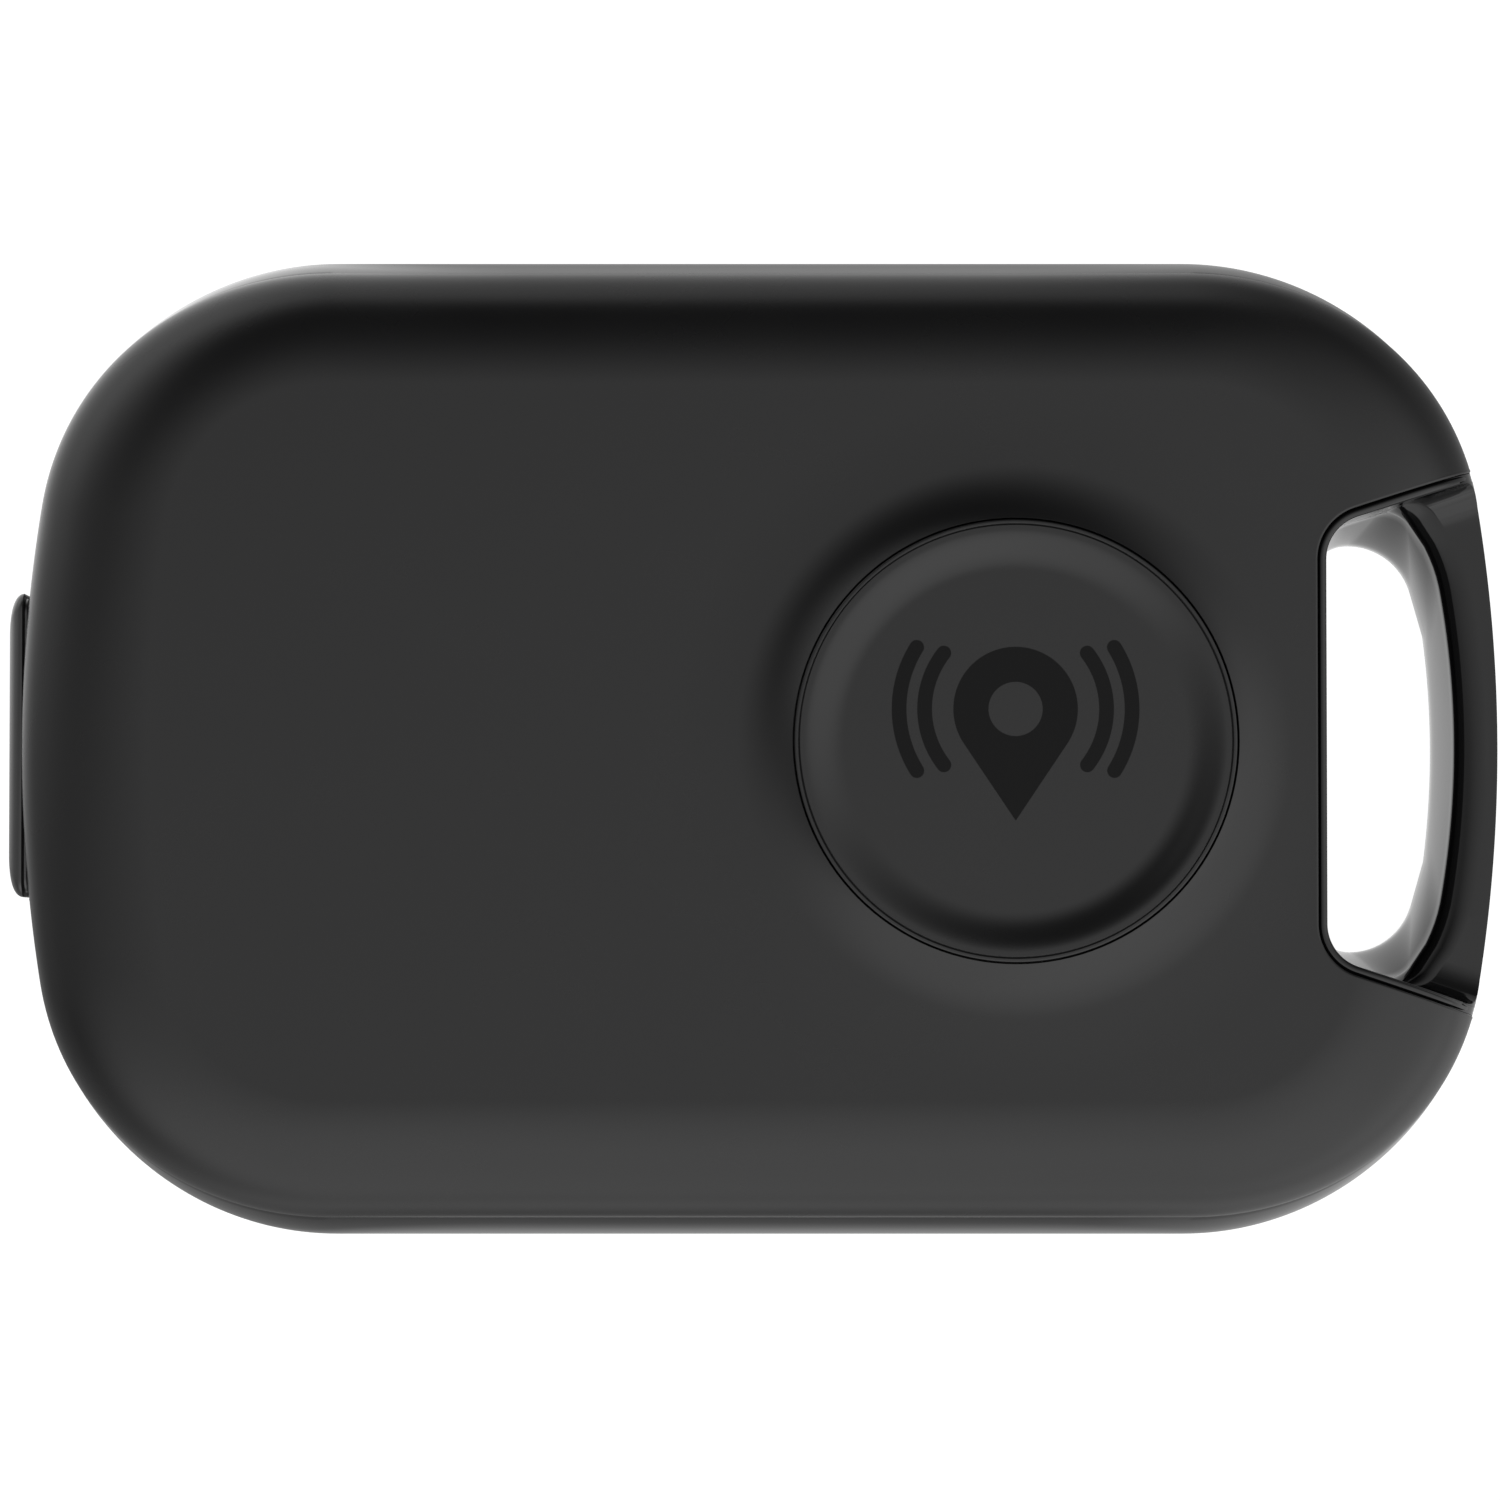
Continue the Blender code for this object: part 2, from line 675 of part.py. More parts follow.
def port_section(inset):
    """Section of the receptacle in (y, z), counter-clockwise: flat top and sloped lower corners."""
    slope = 0.55 * inset
    foot = (PORT_FOOT_HALF_W - slope, PORT_Z - PORT_HALF_H + inset)
    side = PORT_HALF_W - inset
    half = [foot, (side, PORT_Z - 0.35 + slope), (side, PORT_Z + PORT_HALF_H - inset)]
    return half + [(-y, z) for y, z in reversed(half)]


def along_x(name, section, x_low, x_high, look=None):
    """A solid of one (y, z) section along X."""
    made = prism(name, section, x_low, x_high, look)
    for vertex in made.data.vertices:
        vertex.co = Vector((vertex.co.z, vertex.co.x, vertex.co.y))
    return made


def make_port(steel, plastic):
    front, back = PORT_X
    shell = along_x("usb_shell", port_section(0.0), front, back, steel)
    cut(shell, along_x("port_mouth", port_section(PORT_WALL), front - 1, back - 0.3))

    blade_z = (PORT_Z + 0.05, PORT_Z + 0.55)
    tongue = box("usb_tongue", (front + 0.5, back - 0.6), span(0, 1.8), blade_z, plastic)
    block_z = (PORT_Z - 0.75, PORT_Z + 0.8)
    join(tongue, box("tongue_block", (back - 1.4, back - 0.42), span(0, 2.3), block_z))


def make_port_cover(rubber):
    half = [(COVER_BACK_X, -COVER_Y), (COVER_EDGE_X, -COVER_Y), (COVER_FACE_X, -COVER_FACE_Y)]
    plan = list(reversed(half + [(x, -y) for x, y in reversed(half)]))
    cover = prism("port_cover", plan, *span(PORT_Z, COVER_HALF_H), rubber)
    plug_x = (COVER_BACK_X - 0.2, PLUG_END_X)
    join(cover, box("cover_plug", plug_x, span(0, PLUG_HALF[0]), span(PORT_Z, PLUG_HALF[1]), bevel=0.3))
    return cover


def make_port_cover_anchor(rubber):
    """The strap's fixed end: a tab through the wall with a barb behind it."""
    y = HINGE_Y - 0.12
    anchor = box("port_cover_anchor", (-23.5, -21.35), (y - 0.5, y), STRAP_Z, rubber)
    join(anchor, box("anchor_barb", (-21.5, -21.05), (y - 0.6, y + 0.1), (PCB_Z[1] + 0.15, 4.2)))
    return anchor


# ---------------------------------------------------------------- battery and sounder


def make_battery(foil, tape, mask, red, black):
    box("battery_cell", CELL_X, CELL_Y, CELL_Z, foil, bevel=0.5)
    box("battery_tape", TAPE_X, TAPE_Y, TAPE_Z, tape)
    box("battery_board", CELL_BOARD_X, CELL_BOARD_Y, CELL_BOARD_Z, mask)
    start = CELL_BOARD_Y[1] + LEAD_R
    drop = [(0.03, 4.3), (0.38, 4.25), (0.63, 4.05), (0.71, 3.7), (0.71, 3.28)]
    for name, x, look in zip(("battery_lead_positive", "battery_lead_negative"), LEAD_X, (red, black)):
        wire(name, [(x, start + y, z) for y, z in drop], LEAD_R, look)


def make_sounder(brass, ceramic, spring):
    cylinder("piezo_plate", PIEZO_X, 0, PIEZO_R, *PIEZO_Z, brass, sides=48)
    cylinder("piezo_ceramic", PIEZO_X, 0, PIEZO_CERAMIC_R, *CERAMIC_Z, ceramic, sides=40)
    under_board = PCB_Z[0] - GAP
    touches = [
        ("piezo_contact_plate", PIEZO_X + 7.6, PIEZO_Z[1] + 0.08),
        ("piezo_contact_ceramic", PIEZO_X - 2.0, CERAMIC_Z[1] + 0.08),
    ]
    for name, x, z in touches:
        path = [(x + 2.6, under_board), (x + 1.2, under_board), (x, z), (x - 0.5, z + 0.12)]
        strip(name, path, 1.0, 0.1, spring)


# ---------------------------------------------------------------- the whole tag


def build():
    clear_scene()
    gloss = material("gloss_black", (0.012, 0.012, 0.013), 0.12)
    satin = material("satin_black", (0.03, 0.03, 0.031), 0.42)
    rubber = material("black_rubber", (0.025, 0.025, 0.026), 0.6)
    silicone = material("grey_silicone", (0.32, 0.33, 0.34), 0.5)
    dark = material("dark_plastic", (0.04, 0.04, 0.045), 0.5)
    white = material("white_plastic", (0.8, 0.8, 0.78), 0.4)
    steel = material("steel", (0.62, 0.62, 0.63), 0.3, 1.0)
    brass = material("brass", (0.78, 0.6, 0.3), 0.35, 1.0)
    mask = material("board_mask", (0.01, 0.09, 0.04), 0.35)
    ceramic = material("ceramic", (0.75, 0.74, 0.7), 0.5)
    foil = material("foil", (0.72, 0.73, 0.75), 0.35, 0.9)
    tape = material("foam_tape", (0.05, 0.05, 0.05), 0.9)
    clear = material("clear_resin", (0.9, 0.88, 0.7), 0.15)
    red = material("red_insulation", (0.6, 0.03, 0.02), 0.45)
    black = material("black_insulation", (0.02, 0.02, 0.02), 0.45)

    make_bottom_shell(gloss)
    make_top_shell(satin)
    make_perimeter_seal(rubber)
    make_button_cap(satin)
    make_button_boot(silicone)
    make_switch(dark, steel, white)
    make_pcb(mask)
    make_pcb_screws(steel)
    make_chips(dark, steel, ceramic, clear)
    make_port(steel, dark)
    make_port_cover(rubber)
    make_port_cover_anchor(rubber)
    make_battery(foil, tape, mask, red, black)
    make_sounder(brass, ceramic, steel)


build()
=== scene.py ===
"""Looks of the bluetooth tracker tag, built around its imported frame. Sizes are in millimetres."""

import math

import bmesh
import bpy
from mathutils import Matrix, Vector


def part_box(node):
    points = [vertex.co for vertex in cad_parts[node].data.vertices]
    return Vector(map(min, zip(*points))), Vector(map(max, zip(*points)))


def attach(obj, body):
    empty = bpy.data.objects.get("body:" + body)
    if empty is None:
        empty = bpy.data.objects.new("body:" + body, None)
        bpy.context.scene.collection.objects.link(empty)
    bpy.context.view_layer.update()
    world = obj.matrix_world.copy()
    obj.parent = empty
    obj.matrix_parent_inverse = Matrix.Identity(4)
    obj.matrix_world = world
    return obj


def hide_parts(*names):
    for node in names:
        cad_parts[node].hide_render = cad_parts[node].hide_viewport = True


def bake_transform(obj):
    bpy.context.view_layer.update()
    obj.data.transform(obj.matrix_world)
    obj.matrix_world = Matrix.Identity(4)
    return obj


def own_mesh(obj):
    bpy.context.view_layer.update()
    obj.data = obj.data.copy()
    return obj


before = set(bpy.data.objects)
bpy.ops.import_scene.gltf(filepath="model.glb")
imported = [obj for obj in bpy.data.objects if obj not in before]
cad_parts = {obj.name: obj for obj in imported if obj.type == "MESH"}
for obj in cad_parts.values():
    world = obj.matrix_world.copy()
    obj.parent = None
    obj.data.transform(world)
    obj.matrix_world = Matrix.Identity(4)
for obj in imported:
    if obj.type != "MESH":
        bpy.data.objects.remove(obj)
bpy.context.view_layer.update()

MM = 0.001


def node_box(node):
    """A CAD node's box in mm: ((x, x), (y, y), (z, z))."""
    low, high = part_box(node)
    return [(a / MM, b / MM) for a, b in zip(low, high)]


def middle(pair):
    return (pair[0] + pair[1]) / 2


def half_span(pair):
    return (pair[1] - pair[0]) / 2


def around(centre, reach):
    return centre - reach, centre + reach


def quarter_turn(steps, first=0):
    """(sine, cosine) at equal steps from 0 to 90 degrees."""
    turns = [math.radians(90 * i / steps) for i in range(first, steps + 1)]
    return [(math.sin(a), math.cos(a)) for a in turns]


# Housing: plan outline at the widest level, and heights, as the frame has them
SHELL = node_box("bottom_shell")
HALF_LENGTH = SHELL[0][1]
HALF_WIDTH = SHELL[1][1]
CORNER_R = 9.54
END_R = 47.9
CORNER_STEPS = 48
END_STEPS = 24

WIDEST_Z = 1.0
SEAM_Z = 4.6
SEAM_GAP = 0.1
LID_FOOT_Z = SEAM_Z + SEAM_GAP
FIELD_Z = 7.4
FLOOR_Z = 1.0
CEILING_Z = 6.3
BACK_INSET = 1.2
SEAM_INSET = 0.19
SEAM_SIDE_INSET = 0.48
SEAM_SIDE_POWER = 3
FIELD_INSET = 4.4
RIM_R = 0.06

CAVITY_INSET = 1.7
CAVITY_END_X = 16.3
TONGUE_T = 0.45
TONGUE_TOP_Z = 5.1
SKIRT_INSET = 1.15
STEP_Z = 5.55
STEP_INSET = 1.9
INNER_FIELD_INSET = 4.6

# Key-ring slot
SLOT_X = 17.8
NOTCH_Y = 6.74
NOTCH_SLOPE = 0.329
NOTCH_R = 1.4
LINER_T = 0.28
LINER_GAP = 0.012
LINER_DROP = 0.13
LINER_FOOT_Z = 3.2
LIP_R = 0.08
SLOT_BACK_Y = 6.6
SLOT_BACK_R = (1.3, 2.1)
SLOT_FRONT_R = (1.4, 0.9)
SLOT_ENTRY_R = 0.25
BAR_INNER_X = 22.0
BAR_INNER_R = 28.0
BAR_FLARE_Y = 4.9
BAR_FLARE = 0.1
BAR_SHIFT = (-0.22, 0.1)
BAR_ROUND_X = 1.0
BAR_ROUND_Z = 0.7
BAR_CORNER = 1.1

# Button
CAP = node_box("button_cap")
BUTTON_X = middle(CAP[0])
HOLE_R = 6.98
HOLE_FLARE = 0.04
CAP_R = 6.94
CAP_FLAT_R = 5.35
CAP_DISH_R = 6.62
CAP_DISH = 0.33
CAP_GROOVE_R = 6.79
CAP_EDGE_R = 0.06
MOUND_REACH = 10.9
MOUND_H = CAP[2][1] - FIELD_Z
MOUND_STEEP_R = 8.7
MOUND_STEEP_SHARE = 0.8
MOUND_STEEP_POWER = 2.1


# ---------------------------------------------------------------- mesh helpers


def link(item):
    bpy.context.scene.collection.objects.link(item)
    return item


def smooth(item, angle=32):
    item.data.shade_smooth()
    item.data.set_sharp_from_angle(angle=math.radians(angle))
    return item


def from_bmesh(name, bm):
    bmesh.ops.recalc_face_normals(bm, faces=bm.faces)
    mesh = bpy.data.meshes.new(name)
    bm.to_mesh(mesh)
    bm.free()
    return link(bpy.data.objects.new(name, mesh))


def add_level(bm, points, z):
    return [bm.verts.new((x * MM, y * MM, z * MM)) for x, y in points]


def add_loft(bm, rings, closed=False):
    """Adds a solid through rings of equal point counts, each (points, z).

    A closed one has no end faces: its last ring joins its first.
    """
    loops = [add_level(bm, points, z) for points, z in rings]
    pairs = list(zip(loops, loops[1:]))
    if closed:
        pairs.append((loops[-1], loops[0]))
    for first, second in pairs:
        for i in range(len(first)):
            j = (i + 1) % len(first)
            bm.faces.new((first[i], first[j], second[j], second[i]))
    if not closed:
        bm.faces.new(reversed(loops[0]))
        bm.faces.new(loops[-1])


def loft(name, rings, closed=False):
    bm = bmesh.new()
    add_loft(bm, rings, closed)
    return from_bmesh(name, bm)


def band(outer, inner, z_low, z_high):
    """The rings of a closed flat band between two outlines of equal point counts."""
    return [(outer, z_low), (outer, z_high), (inner, z_high), (inner, z_low)]


def prism(name, points, z_low, z_high):
    return loft(name, [(points, z_low), (points, z_high)])


def add_block(bm, x, y, z, bevel=0.0, segments=2):
    """Adds a block with rounded edges. x, y and z are (low, high)."""
    made = bmesh.ops.create_cube(bm, size=1)["verts"]
    for vertex in made:
        vertex.co = [(low + (c + 0.5) * (high - low)) * MM for c, (low, high) in zip(vertex.co, (x, y, z))]
    if bevel:
        edges = list(dict.fromkeys(edge for vertex in made for edge in vertex.link_edges))
        bmesh.ops.bevel(bm, geom=edges, offset=bevel * MM, segments=segments, profile=0.5, affect="EDGES")


def blocks(name, boxes):
    """Several blocks in one mesh, each as add_block takes it."""
    bm = bmesh.new()
    for box in boxes:
        add_block(bm, *box)
    return from_bmesh(name, bm)


def block(name, x, y, z, bevel=0.0):
    return blocks(name, [(x, y, z, bevel, 3)])


def turned(name, profile, x, y, steps=128):
    """A closed solid turned about a vertical axis. Its profile, in (radius, z), runs from axis to axis."""
    bm = bmesh.new()
    columns = []
    for radius, z in profile:
        if radius < 1e-6:
            columns.append(add_level(bm, [(x, y)], z))
            continue
        turns = [math.tau * i / steps for i in range(steps)]
        ring = [(x + radius * math.cos(a), y + radius * math.sin(a)) for a in turns]
        columns.append(add_level(bm, ring, z))
    pairs = list(zip(columns, columns[1:]))
    if len(columns[0]) > 1:
        pairs.append((columns[-1], columns[0]))
    for first, second in pairs:
        for i in range(steps):
            j = (i + 1) % steps
            corners = [first[i % len(first)], first[j % len(first)]]
            corners += [second[j % len(second)], second[i % len(second)]]
            corners = list(dict.fromkeys(corners))
            if len(corners) > 2:
                bm.faces.new(corners)
    return from_bmesh(name, bm)


def tube(name, points, radius, sides=6):
    """A round bead along points in mm."""
    curve = bpy.data.curves.new(name, "CURVE")
    curve.dimensions = "3D"
    curve.bevel_depth = radius * MM
    curve.bevel_resolution = sides
    curve.use_fill_caps = True
    spline = curve.splines.new("POLY")
    spline.points.add(len(points) - 1)
    for target, (x, y, z) in zip(spline.points, points):
        target.co = (x * MM, y * MM, z * MM, 1.0)
    source = link(bpy.data.objects.new(name, curve))
    graph = bpy.context.evaluated_depsgraph_get()
    mesh = bpy.data.meshes.new_from_object(source.evaluated_get(graph))
    bpy.data.objects.remove(source)
    made = link(bpy.data.objects.new(name, mesh))
    return smooth(made, 50)


def carve(item, steps):
    """Applies booleans in order: steps are (operation, [cutters]). The cutters are removed."""
    spent = []
    for operation, tools in steps:
        for tool in tools:
            step = item.modifiers.new(operation, "BOOLEAN")
            step.operation = operation
            step.solver = "EXACT"
            step.object = tool
            spent.append(tool)
    bpy.context.view_layer.update()
    graph = bpy.context.evaluated_depsgraph_get()
    mesh = bpy.data.meshes.new_from_object(item.evaluated_get(graph))
    item.modifiers.clear()
    item.data = mesh
    for tool in spent:
        bpy.data.objects.remove(tool)
    return item


# ---------------------------------------------------------------- outlines and surfaces


def arc(centre, radius, start, end, steps):
    turn = [math.radians(start + (end - start) * i / steps) for i in range(steps + 1)]
    return [(centre[0] + radius * math.cos(a), centre[1] + radius * math.sin(a)) for a in turn]


END_X = HALF_LENGTH - END_R
CORNER_Y = HALF_WIDTH - CORNER_R
CORNER_X = END_X + math.sqrt((END_R - CORNER_R) ** 2 - CORNER_Y**2)
SWEEP = math.degrees(math.asin(CORNER_Y / (END_R - CORNER_R)))


def offset_arc(centre, radius, start, end, steps, inset, side_inset):
    """A quarter's arc moved inward, by inset everywhere and by side_inset more where it faces along Y."""
    points = []
    for i in range(steps + 1):
        a = math.radians(start + (end - start) * i / steps)
        reach = radius - inset - side_inset * math.sin(a) ** SEAM_SIDE_POWER
        points.append((centre[0] + reach * math.cos(a), centre[1] + reach * math.sin(a)))
    return points


def outline(inset, x_limit=None, side_inset=0.0):
    """The housing's plan outline moved inward, counter-clockwise from the right end."""
    quarter = offset_arc((END_X, 0), END_R, 0, SWEEP, END_STEPS, inset, side_inset)
    quarter += offset_arc((CORNER_X, CORNER_Y), CORNER_R, SWEEP, 90, CORNER_STEPS, inset, side_inset)[1:]
    points = quarter + [(-x, y) for x, y in reversed(quarter)]
    points += [(-x, -y) for x, y in quarter[1:]]
    points += [(x, -y) for x, y in reversed(quarter[1:])]
    if x_limit is not None:
        points = [(min(x, x_limit), y) for x, y in points]
    return points


def inset_at(x, y):
    """How far a point lies inside the widest outline, and the outward direction there."""
    px, py = abs(x), abs(y)
    dx, dy = px - CORNER_X, py - CORNER_Y
    if dx > 0 and dy > 0 and math.degrees(math.atan2(dy, dx)) > SWEEP:
        reach = math.hypot(dx, dy)
        value, way = CORNER_R - reach, (dx / reach, dy / reach)
    else:
        ex = px - END_X
        reach = math.hypot(ex, py)
        value, way = END_R - reach, (ex / reach, py / reach)
        if HALF_WIDTH - py < value:
            value, way = HALF_WIDTH - py, (0.0, 1.0)
    return value, (math.copysign(way[0], x), math.copysign(way[1], y))


def clamped(share):
    return min(max(share, 0.0), 1.0)


def lid_section(inset):
    """Height and tilt of the lid's soft edge at an inset."""
    share = clamped((FIELD_INSET - inset) / (FIELD_INSET - SEAM_INSET))
    rise = math.sqrt(1 - share**2)
    height = LID_FOOT_Z + (FIELD_Z - LID_FOOT_Z) * rise
    tilt = math.atan2((FIELD_Z - LID_FOOT_Z) * share, (FIELD_INSET - SEAM_INSET) * max(rise, 1e-6))
    return height, tilt


def mound_height(radius):
    """Height of the raised ground round the button: a steep lip at the hole on a long gentle foot."""
    steep = clamped((MOUND_STEEP_R - radius) / (MOUND_STEEP_R - HOLE_R)) ** MOUND_STEEP_POWER
    gentle = clamped((MOUND_REACH - radius) / (MOUND_REACH - HOLE_R)) ** 2
    return MOUND_H * (MOUND_STEEP_SHARE * steep + (1 - MOUND_STEEP_SHARE) * gentle)


def bar_inner_x(y, shift):
    """Inner face of the key-ring bar, moved outward by shift: bowed, and flaring towards its ends."""
    bow = BAR_INNER_R - math.sqrt(BAR_INNER_R**2 - y**2)
    return BAR_INNER_X + shift - bow - BAR_FLARE * max(abs(y) - BAR_FLARE_Y, 0.0) ** 2


def rounded_plan(x, y, inset, radius, steps=6):
    """A rounded rectangle inside the box (x, y), moved inward by inset."""
    points = []
    corners = ((x[1], y[1], -1, -1), (x[0], y[1], 1, -1), (x[0], y[0], 1, 1), (x[1], y[0], -1, 1))
    for quarter, (corner_x, corner_y, side_x, side_y) in enumerate(corners):
        centre = (corner_x + side_x * (inset + radius), corner_y + side_y * (inset + radius))
        points += arc(centre, radius, 90 * quarter, 90 * quarter + 90, steps)
    return points


def rounded(before, corner, after, radius, steps):
    """A polygon's corner as an arc of that radius."""
    corner = Vector(corner)
    to_before = (Vector(before) - corner).normalized()
    to_after = (Vector(after) - corner).normalized()
    half = to_before.angle(to_after) / 2
    start = corner + to_before * radius / math.tan(half)
    end = corner + to_after * radius / math.tan(half)
    centre = corner + (to_before + to_after).normalized() * radius / math.sin(half)
    first = start - centre
    turn = -first.angle_signed(end - centre)
    points = []
    for i in range(steps + 1):
        a = turn * i / steps
        x = centre.x + first.x * math.cos(a) - first.y * math.sin(a)
        y = centre.y + first.x * math.sin(a) + first.y * math.cos(a)
        points.append((x, y))
    return points


def mirrored(half):
    loop = half + [(x, -y) for x, y in reversed(half[:-1])]
    return list(reversed(loop))


def slot_outline(end_y, slope, radii, shift, grow=0.0):
    """The key-ring slot's outline: straight inner side, sloped ends, outer side along the bar."""
    left, top = SLOT_X - grow, end_y + grow
    inner_r, outer_r = radii
    outer_y = top
    for _ in range(5):
        outer_y = top + slope * (bar_inner_x(outer_y, shift + grow) - left)
    outer = (bar_inner_x(outer_y, shift + grow), outer_y)
    bar_y = outer_y - 1.4 * outer_r
    half = rounded((left, 0), (left, top), outer, inner_r, 16)
    half += rounded((left, top), outer, (bar_inner_x(bar_y, shift + grow), bar_y), outer_r, 16)
    half += [(bar_inner_x(bar_y * i / 20, shift + grow), bar_y * i / 20) for i in range(20, -1, -1)]
    return mirrored(half)


def notch_half(offset, far_x=HALF_LENGTH + 4):
    """Upper half of the notch's outline, moved outward by offset."""
    run = math.hypot(1, NOTCH_SLOPE)
    x = SLOT_X - offset
    corner_y = NOTCH_Y + offset * (run - NOTCH_SLOPE)
    far = (far_x, corner_y + NOTCH_SLOPE * (far_x - x))
    return rounded((x, 0), (x, corner_y), far, NOTCH_R + offset, 20) + [far]


def notch_outline(offset):
    half = notch_half(offset)
    return mirrored(half + [(half[-1][0], 0)])


def notch_lip_path(offset, radius, drop):
    """Centre line of a bead that rounds an edge along the notch, from one end of the housing to the other."""
    half = notch_half(offset)
    corner, far = half[:-1], half[-1]
    start = corner[-1]
    length = math.hypot(far[0] - start[0], far[1] - start[1])
    way = ((far[0] - start[0]) / length, (far[1] - start[1]) / length)

    def along(t):
        return (start[0] + way[0] * t, start[1] + way[1] * t)

    def reach(inset):
        low, high = 0.0, length
        for _ in range(40):
            mid = (low + high) / 2
            if inset_at(*along(mid))[0] > inset:
                low = mid
            else:
                high = mid
        return low

    turns = [math.radians(a) for a in range(88, -1, -2)]
    edge = [reach(FIELD_INSET - (FIELD_INSET - SEAM_INSET) * math.cos(a)) for a in turns]
    straight = [edge[0] * i / 12 for i in range(1, 12)]
    plan = [(corner[0][0], corner[0][1] * i / 10) for i in range(10)] + corner
    plan += [along(t) for t in straight + edge]
    upper = []
    for x, y in plan:
        inset, out = inset_at(x, y)
        height, tilt = lid_section(inset)
        height += mound_height(math.hypot(x - BUTTON_X, y))
        shift = (radius + drop) * math.sin(tilt)
        upper.append((x - out[0] * shift, y - out[1] * shift, height - (radius + drop) * math.cos(tilt)))
    return list(reversed(upper)) + [(x, -y, z) for x, y, z in upper[1:]]


# ---------------------------------------------------------------- housing


def side_ring(inset, side_share, z):
    return outline(inset, side_inset=SEAM_SIDE_INSET * side_share), z


def tray_rings():
    """The tray's outside: rounded back edge, leaning side, small rounded rim at the seam."""
    rings = [(outline(BACK_INSET * (1 - sine)), WIDEST_Z * (1 - cosine)) for sine, cosine in quarter_turn(14)]
    rim = SEAM_Z - RIM_R
    for i in range(1, 13):
        z = WIDEST_Z + (rim - WIDEST_Z) * i / 12
        share = ((z - WIDEST_Z) / (SEAM_Z - WIDEST_Z)) ** 2
        rings.append(side_ring(SEAM_INSET * share, share, z))
    for i, (sine, cosine) in enumerate(quarter_turn(4, 1), 1):
        inset = SEAM_INSET * share + RIM_R * (1 - cosine) + 0.01 * i
        rings.append(side_ring(inset, share, rim + RIM_R * sine))
    return rings


def lid_rings(drop=0.0, foot=True):
    """The lid's outside from the seam up to the flat field, over a small undercut at its foot."""
    rings = []
    if foot:
        rings.append(side_ring(SEAM_INSET + 0.13, 1.0, LID_FOOT_Z))
        rings.append(side_ring(SEAM_INSET + 0.04, 1.0, LID_FOOT_Z + 0.05))
    for sine, cosine in quarter_turn(36, 1):
        inset = FIELD_INSET - (FIELD_INSET - SEAM_INSET) * cosine
        rings.append(side_ring(inset, cosine, LID_FOOT_Z + (FIELD_Z - LID_FOOT_Z) * sine - drop))
    return rings


def bar_room():
    """The space over the key-ring bar, with rounded lower edges that turn up into the notch's walls."""
    rings = []
    for sine, cosine in quarter_turn(12):
        rings.append((notch_outline(-BAR_CORNER * (1 - sine)), SEAM_Z + BAR_CORNER * (1 - cosine)))
    rings.append((notch_outline(0), FIELD_Z + 1))
    return loft("bar_room", rings)


def slot_cutter():
    """The slot: rounded entry at the back, leaning walls, and the bar's wide soft edge at the button side."""
    low_shift, high_shift = BAR_SHIFT
    low, high = 0.8, SEAM_Z - BAR_ROUND_Z

    def back(shift, grow=0.0):
        return slot_outline(SLOT_BACK_Y, 0.0, SLOT_BACK_R, shift, grow)

    def front(shift):
        return slot_outline(NOTCH_Y, NOTCH_SLOPE, SLOT_FRONT_R, shift)

    rings = [(back(low_shift, SLOT_ENTRY_R), -1)]
    for sine, cosine in quarter_turn(6):
        rings.append((back(low_shift, SLOT_ENTRY_R * (1 - sine)), SLOT_ENTRY_R * (1 - cosine)))
    first, last = back(low_shift), front(high_shift)
    for i in range(11):
        share = i / 10
        lean = share**1.3
        points = [(a[0] + (b[0] - a[0]) * lean, a[1] + (b[1] - a[1]) * lean) for a, b in zip(first, last)]
        rings.append((points, low + (high - low) * share))
    for sine, cosine in quarter_turn(12, 1):
        rings.append((front(high_shift + BAR_ROUND_X * (1 - cosine)), high + BAR_ROUND_Z * sine))
    rings.append((front(high_shift + BAR_ROUND_X), FIELD_Z + 1))
    return loft("slot", rings)


def make_tray():
    shell = loft("tray_body", tray_rings())
    cavity = outline(CAVITY_INSET, CAVITY_END_X)
    tongue = outline(CAVITY_INSET - TONGUE_T, CAVITY_END_X + TONGUE_T)
    tongue_ring = loft("tongue", band(tongue, cavity, SEAM_Z - 0.5, TONGUE_TOP_Z), closed=True)
    liner = prism("liner", notch_outline(LINER_T), LINER_FOOT_Z, FIELD_Z)
    side = side_ring(SEAM_INSET + 0.03, 1.0, LINER_FOOT_Z)
    lowered = loft("lowered", [side] + lid_rings(LINER_DROP + LINER_T / 2, foot=False))
    over_bar = prism("over_bar", notch_outline(0), SEAM_Z, FIELD_Z + 1)
    carve(liner, [("INTERSECT", [lowered]), ("DIFFERENCE", [over_bar])])
    corner_fill = prism("corner_fill", notch_outline(0.02), SEAM_Z - 0.4, SEAM_Z + BAR_CORNER)
    fill_limit = loft("fill_limit", [side] + lid_rings(LINER_DROP, foot=False))
    carve(corner_fill, [("INTERSECT", [fill_limit]), ("DIFFERENCE", [bar_room()])])
    carve(shell, [
        ("DIFFERENCE", [prism("cavity", cavity, FLOOR_Z, SEAM_Z + 1)]),
        ("UNION", [tongue_ring, liner, corner_fill]),
        ("DIFFERENCE", [slot_cutter()] + port_cutters()),
    ])
    return smooth(shell)


COVER = node_box("port_cover")
COVER_HALF_Z = half_span(COVER[2])
PORT_Z = middle(COVER[2])
ANCHOR = node_box("port_cover_anchor")
COVER_BACK_X = -23.2
WALL_X = -23.1
STRAP_X = (-23.3, -23.13)


def port_ring(half_y, half_z, radius=0.5):
    """A rounded rectangle in (y, z) round the port's axis."""
    return rounded_plan(around(0, half_y), around(PORT_Z, half_z), 0, radius, 8)


def turned_to_x(item, bow=0.0):
    """Turns a loft made along Z so that it runs along X, bent back by bow times y squared."""
    for vertex in item.data.vertices:
        y, z, x = vertex.co
        vertex.co = (x + bow * y * y / MM, y, z)
    return item


